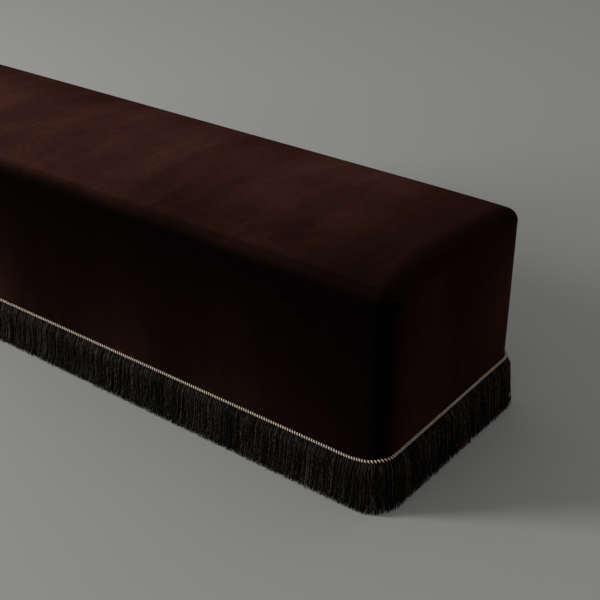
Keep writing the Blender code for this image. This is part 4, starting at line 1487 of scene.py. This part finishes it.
class SeatPadding:
    """Layers that carry the velvet: woven webbing, hessian, seat foam and a wrap of wadding."""

    def __init__(self, cover: VelvetCover) -> None:
        """Keeps the velvet's grids, which the layers follow."""
        self.shape = PaddingShape()
        self.fold = len(cover.shape.fold)
        self.hem = cover.HEM_STEPS
        self.roll = cover.HEM_STEPS + cover.SIDE_STEPS
        self.main = cover.main_grid
        self.panel = cover.panel_grid

    def build_wadding(self) -> None:
        """Wrap: the velvet's own surfaces moved in along their normals, with a soft wall, above the hem."""
        s = self.shape
        fold = self.fold + s.wadding_margin
        inside = self.main[fold:-fold, self.hem : -self.hem]
        wrap = inside - s.wadding_in * grid_normals(inside)
        face = self.panel[self.hem : -fold - s.wadding_end_rows, fold:-fold]
        end = face + s.wadding_in * grid_normals(face)
        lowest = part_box("wadding_wrap")[0].z + s.wadding_lift
        for sheet in (wrap, end):
            sheet[..., 2] = np.maximum(sheet[..., 2], lowest)
        patch = Patch.join([Patch.grid(wrap), Patch.grid(end, flip=True), Patch.grid(end * MIRROR_X)])
        piece = add_piece("padding_wrap", patch, WADDING.material(), ("wadding_wrap",))
        thicken(piece, s.wadding_wall)

    def build_foam(self) -> None:
        """Seat block: its top follows the velvet at one distance, its sides drop to a flat base."""
        low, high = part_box("seat_foam")
        inside = self.main[self.fold : -self.fold, self.roll : -self.roll]
        top = inside - self.shape.foam_in * grid_normals(inside)
        top[..., :2] = np.clip(top[..., :2], low[:2], high[:2])
        bottom = top * np.array([1.0, 1.0, 0.0]) + np.array([0.0, 0.0, low.z])
        body = slab(top, bottom)
        piece = add_piece("foam_block", body, FOAM.material(), ("seat_foam",), True)

    def build_hessian(self) -> None:
        """Sheet stretched over the webbing, a little uneven between the straps."""
        s = self.shape
        low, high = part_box("seat_hessian")
        x, y = rounded_sheet(low, high, s.hessian_counts, s.hessian_corner)
        wave = s.hessian_wave * np.sin(x * s.hessian_waves[0]) * np.sin(y * s.hessian_waves[1])
        top = np.stack([x, y, high.z - s.hessian_wave + wave], axis=-1)
        bottom = np.stack([x, y, low.z + s.hessian_wave + wave], axis=-1)
        body = slab(top, bottom)
        piece = add_piece("hessian_sheet", body, HESSIAN.material(), ("seat_hessian",), True)

    def strap(self, along: Array, across: float, height: Array, turned: bool) -> Patch:
        """One strap: a flat band with softened edges, carried along a line that goes over and under.

        Args:
            along: Places along the strap.
            across: Where its middle lies across.
            height: Height of its middle at those places.
            turned: Whether it runs along Y instead of X.

        Returns:
            The closed strap.
        """
        s = self.shape
        part = np.array(s.strap_parts)
        half = s.strap_wall / 2 * np.array(s.strap_walls)
        far, side = np.meshgrid(along, across + part * s.strap_width / 2, indexing="ij")
        x, y = (side, far) if turned else (far, side)
        top = np.stack([x, y, height[:, None] + half], axis=-1)
        bottom = np.stack([x, y, height[:, None] - half], axis=-1)
        if turned:
            top, bottom = bottom, top
        return slab(top, bottom)

    def build_webbing(self) -> None:
        """Cross straps and long straps, each over one and under the next.

        A strap's height is a cosine along it whose sign changes from strap to strap, so that it is high
        where the strap that it crosses is low.
        """
        s = self.shape
        low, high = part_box("seat_webbing")
        middle = (low.z + high.z) / 2.0
        swing = (high.z - low.z - s.strap_wall) / 2.0
        cross_gap = 2.0 * high.x / s.cross_straps
        long_gap = 2.0 * high.y / s.long_straps
        cross_at = -high.x + cross_gap * (np.arange(s.cross_straps) + 0.5)
        long_at = -high.y + long_gap * (np.arange(s.long_straps) + 0.5)
        y = np.linspace(low.y, high.y, s.cross_points)
        x = np.linspace(low.x, high.x, s.long_points)

        def height(along: Array, first: float, gap: float, flips: int) -> Array:
            """Height of a strap: middle + swing cos(pi (t - first) / gap), turned over by every flip."""
            return middle + swing * (-1.0) ** flips * np.cos(math.pi * (along - first) / gap)

        straps = [
            self.strap(y, at, height(y, long_at[0], long_gap, i), True)
            for i, at in enumerate(cross_at)
        ] + [
            self.strap(x, at, height(x, cross_at[0], cross_gap, j + 1), False)
            for j, at in enumerate(long_at)
        ]
        body = Patch.join(straps)
        piece = add_piece("strap_lattice", body, WEBBING.material(), ("seat_webbing",), True)

    def build(self) -> None:
        """Builds the layers from the webbing up."""
        self.build_webbing()
        self.build_hessian()
        self.build_foam()
        self.build_wadding()


@dataclass(frozen=True)
class FootShape:
    """Turned foot: straight band, cove and taper, and the nylon disc under it."""

    top_radius: float = 0.024
    low_radius: float = 0.019
    collar: float = 0.010
    collar_points: int = 9
    collar_round: float = 0.0012
    bolt_radius: float = 0.012
    cove: float = 0.0035
    step: float = 0.0012
    taper_points: int = 14
    taper_power: float = 1.6
    sole_round: float = 0.0014
    sides: int = 40
    nail_radius: float = 0.0015
    disc: float = 0.006
    disc_points: int = 5
    disc_top_round: float = 0.0012
    disc_low_round: float = 0.0015


@dataclass(frozen=True)
class DustShape:
    """Cloth under the frame, and the holes that the feet pass through."""

    counts: tuple[int, int] = (141, 41)
    corner: float = 0.024
    sag: float = 0.004
    ripple: float = 0.0006
    ripple_turns: Pair = (31.0, 4.0)
    wall: float = 0.0006
    hole: float = 0.0246
    hole_heights: Pair = (0.03, 0.08)


class Underside:
    """What shows from below: the dust cover, stretched under the frame, and the four feet."""

    PLACES = ("front_left", "front_right", "back_left", "back_right")

    def __init__(self) -> None:
        """Keeps the sizes and the two finishes that all feet share."""
        self.foot = FootShape()
        self.dust = DustShape()
        self.wood = STAINED_WOOD.material()
        self.nylon = NYLON.material()

    def build_turned(self, node: str, profile: Profile, material: Material) -> None:
        """Puts a body of turning in the place of a node.

        Args:
            node: Name of the node.
            profile: Stretches of the outline from top to bottom, each a pair of radii and heights.
            material: Its finish.
        """
        radius, height = (np.concatenate([np.atleast_1d(p[k]) for p in profile]) for k in (0, 1))
        body = turned_patch(node, radius, height, self.foot.sides)
        add_piece(node + "_turned", body, material, (node,), True)

    def build_foot(self, place: str) -> None:
        """Foot with a rounded band, |t|^3 down from its middle, and a hollow taper, (1 - t)^power."""
        s = self.foot
        low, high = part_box("foot_" + place)
        down = np.linspace(0.0, 1.0, s.collar_points)
        band = s.top_radius - s.collar_round * np.abs(np.linspace(-1.0, 1.0, s.collar_points)) ** 3
        part = np.linspace(0.0, 1.0, s.taper_points)
        taper = s.low_radius + (s.top_radius - s.cove - s.low_radius) * (1.0 - part) ** s.taper_power
        under = high.z - s.collar - s.step
        profile = [
            (0.0, high.z),
            (s.bolt_radius, high.z),
            (band, high.z - s.collar * down),
            (taper, under - (under - s.step - low.z) * part),
            (s.low_radius - s.sole_round, low.z),
            (0.0, low.z),
        ]
        self.build_turned("foot_" + place, profile, self.wood)

    def build_glide(self, place: str) -> None:
        """Nylon disc on its nail, with a quarter round at its upper and lower edge."""
        s = self.foot
        low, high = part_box("glide_" + place)
        bend = np.linspace(0.0, QUARTER, s.disc_points)
        wide = (high.x - low.x) / 2.0
        disc, over, under = low.z + s.disc, s.disc_top_round, s.disc_low_round
        profile = [
            (0.0, high.z),
            (s.nail_radius, high.z),
            (s.nail_radius, disc),
            (wide - over + over * np.sin(bend), disc - over + over * np.cos(bend)),
            (wide - under + under * np.cos(bend), low.z + under - under * np.sin(bend)),
            (0.0, low.z),
        ]
        self.build_turned("glide_" + place, profile, self.nylon)

    def build_dust_cover(self) -> None:
        """Black cloth under the frame, which sags a little between its tacks and is cut out round the feet.

        It hangs by sag (1 - (x / half)^8) (1 - (y / half)^2) below its edges, with a fine ripple.
        """
        s = self.dust
        low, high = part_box("dust_cover")
        x, y = rounded_sheet(low, high, s.counts, s.corner)
        across = 1.0 - (y / high.y) ** 2
        sag = s.sag * (1.0 - (x / high.x) ** 8) * across
        sag = sag + s.ripple * np.sin(x * s.ripple_turns[0] + s.ripple_turns[1] * y) * across
        top = np.stack([x, y, high.z - sag], axis=-1)
        body = slab(top, top - np.array([0.0, 0.0, s.wall]))
        cloth = DUST_CLOTH.material()
        piece = add_piece("dust_cloth_sheet", body, cloth, ("dust_cover",), True)
        self.cut_holes(piece)

    def cut_holes(self, piece: Object) -> None:
        """Cuts the cloth out round the feet with cylinders, and keeps the cut mesh."""
        s = self.dust
        low, high = s.hole_heights
        radius = np.array([0.0, s.hole, s.hole, 0.0])
        height = np.array([high, high, low, low])
        holes = [turned_patch("foot_" + place, radius, height, self.foot.sides) for place in self.PLACES]
        cutter = link("foot_holes", Patch.join(holes).mesh("foot_holes", welded=True))
        cut = piece.modifiers.new("Holes", "BOOLEAN")
        cut.operation = "DIFFERENCE"
        cut.solver = "EXACT"
        cut.object = cutter
        shaped = piece.evaluated_get(bpy.context.evaluated_depsgraph_get())
        piece.data = bpy.data.meshes.new_from_object(shaped)
        piece.modifiers.clear()
        bpy.data.objects.remove(cutter)

    def build(self) -> None:
        """Builds the cloth and the feet."""
        self.build_dust_cover()
        for place in self.PLACES:
            self.build_foot(place)
            self.build_glide(place)


class TimberFrame:
    """Rails, posts, boards and fixings that the frame brings along, each in its own finish."""

    def __init__(self) -> None:
        """Makes the finishes once each."""
        self.along = SOFTWOOD.material()
        self.across = SOFTWOOD_ACROSS.material()
        self.up = SOFTWOOD_UP.material()
        self.board = HARDBOARD.material()
        self.steel = ZINC.material()

    def finish_of(self, node: str) -> Material | None:
        """Finish of a node by its name; timber takes the one whose grain runs along it."""
        if node.startswith(("post", "stud")):
            return self.up
        if node.startswith("cross_rail") or (node.startswith("rail") and node.endswith(("left", "right"))):
            return self.across
        kinds = {
            "rail": self.along, "corner_block": self.along, "panel": self.board, "foot_bolt": self.steel,
            "tnut": self.steel,
        }
        return next((finish for start, finish in kinds.items() if node.startswith(start)), None)

    def dress(self) -> None:
        """Puts the finishes on the nodes that stay."""
        for name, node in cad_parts.items():
            finish = self.finish_of(name)
            if finish is not None:
                node.data.materials.clear()
                node.data.materials.append(finish)
                LOG.info("%s: %s", name, finish.name)


@dataclass(frozen=True)
class Studio:
    """Floor, light and camera. The camera stands as in the photograph, whose frame is 600 by 600."""

    picture: float = 600.0
    focal_pixels: float = 1132.0
    sensor_mm: float = 36.0
    yaw: float = math.radians(37.81)
    pitch: float = math.radians(28.55)
    from_corner: Colour = (0.8805, -1.3686, 1.3197)
    floor_half: float = 9.0
    floor_tone: Colour = (0.268, 0.266, 0.259)
    cloud_tone: float = 0.96
    # Painted light on the far floor, and where it starts and ends.
    far_painted_light: float = 1.03
    far_span: Pair = (0.8, 1.8)
    key_aim: Colour = (0.35, 0.0, 0.2)
    key_from: float = math.radians(37.7)
    key_height: float = math.radians(17.5)
    key_distance: float = 6.8
    key_size: Pair = (1.7, 3.2)
    key_power: float = 665.0
    sky: float = 0.52
    sky_tone: Colour = (1.0, 0.99, 0.97)

    def camera(self, half_length: float, half_depth: float) -> None:
        """Camera placed from the corner where the velvet's front and right faces would meet.

        Args:
            half_length: Half the velvet's length.
            half_depth: Half its depth.
        """
        data = bpy.data.cameras.new("camera")
        data.sensor_width = self.sensor_mm
        data.lens = self.focal_pixels / self.picture * self.sensor_mm
        camera = link("camera", data)
        x, y, z = self.from_corner
        camera.location = (half_length + x, -half_depth + y, z)
        camera.rotation_euler = (QUARTER - self.pitch, 0.0, self.yaw)
        bpy.context.scene.camera = camera

    def lamp(self) -> None:
        """Tall soft lamp from the camera's left."""
        data = bpy.data.lights.new("key", "AREA")
        data.shape = "RECTANGLE"
        data.size, data.size_y = self.key_size
        data.energy = self.key_power
        lamp = link("key", data)
        level = math.cos(self.key_height)
        toward = np.array([
            -math.cos(self.key_from) * level, -math.sin(self.key_from) * level, math.sin(self.key_height)
        ])
        lamp.location = np.array(self.key_aim) + toward * self.key_distance
        lamp.rotation_euler = (QUARTER - self.key_height, 0.0, -QUARTER + self.key_from)

    def world(self) -> None:
        """Even sky that lights the scene, and that cameras and mirrors see as a backdrop like the floor."""
        world = bpy.data.worlds.new("sky")
        bpy.context.scene.world = world
        world.use_nodes = True
        tree = world.node_tree
        paint = tree.nodes["Background"]
        paint.inputs["Color"].default_value = (*self.sky_tone, 1.0)
        paint.inputs["Strength"].default_value = self.sky
        backdrop = tree.nodes.new("ShaderNodeBackground")
        backdrop.inputs["Color"].default_value = (*self.floor_tone, 1.0)
        path = tree.nodes.new("ShaderNodeLightPath")
        seen = path.outputs["Is Camera Ray"]
        for ray in ("Is Glossy Ray", "Is Transmission Ray"):
            either = tree.nodes.new("ShaderNodeMath")
            either.operation = "MAXIMUM"
            tree.links.new(seen, either.inputs[0])
            tree.links.new(path.outputs[ray], either.inputs[1])
            seen = either.outputs[0]
        mix = tree.nodes.new("ShaderNodeMixShader")
        for index, socket in enumerate((seen, paint.outputs[0], backdrop.outputs[0])):
            tree.links.new(socket, mix.inputs[index])
        tree.links.new(mix.outputs[0], tree.nodes["World Output"].inputs["Surface"])

    def floor(self) -> None:
        """Plain pale floor with a faint unevenness of tone, and painted light that makes it lighter far
        behind the object.
        """
        side = np.linspace(-self.floor_half, self.floor_half, 3)
        x, y = np.meshgrid(side, side, indexing="ij")
        mesh = Patch.grid(np.stack([x, y, 0.0 * x], axis=-1)).mesh("floor")
        shader = Shader("floor", 0.85, Specular_IOR_Level=0.2)
        cloud = shader.span(shader.noise(shader.place(), 0.9, 2.0), 0.3, 0.7, (0.0, 1.0))
        # Painted light: the floor grows lighter far behind the object.
        apart = shader.node("SeparateXYZ", {0: shader.place((-math.sin(self.yaw), math.cos(self.yaw), 1.0))})
        behind = shader.math("ADD", apart.outputs[0], apart.outputs[1])
        behind = shader.span(behind, *self.far_span, (0.0, 1.0))
        cloudy, far = (tuple(t * c for c in self.floor_tone) for t in (self.cloud_tone, self.far_painted_light))
        tone = shader.mix(cloud, self.floor_tone, cloudy)
        mesh.materials.append(shader.finish(shader.mix(behind, tone, far)))
        floor = link("floor", mesh)

    def build(self, half_length: float, half_depth: float) -> None:
        """Sets up camera, light and floor, and plain colour management."""
        bpy.context.scene.view_settings.view_transform = "Standard"
        self.camera(half_length, half_depth)
        self.lamp()
        self.world()
        self.floor()


def main() -> None:
    """Builds the sub-assemblies in order."""
    logging.basicConfig(level=logging.INFO, format="%(name)s: %(message)s")
    cover_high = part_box("cover_main")[1]
    cord_low, cord_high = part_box("trim_cord")
    route = TrimRoute(cover_high.x, cover_high.y)
    Studio().build(cover_high.x, cover_high.y)
    cover = VelvetCover()
    cover.build()
    SeatPadding(cover).build()
    Underside().build()
    cord = TrimCord(route, cord_high.y - cover_high.y - CORD_BED, cord_low.z + CORD_BED)
    cord.build()
    Fringe(route, FringeShape(cord.centre_z - cord.radius)).build()
    TimberFrame().dress()


if __name__ == "__main__":
    main()
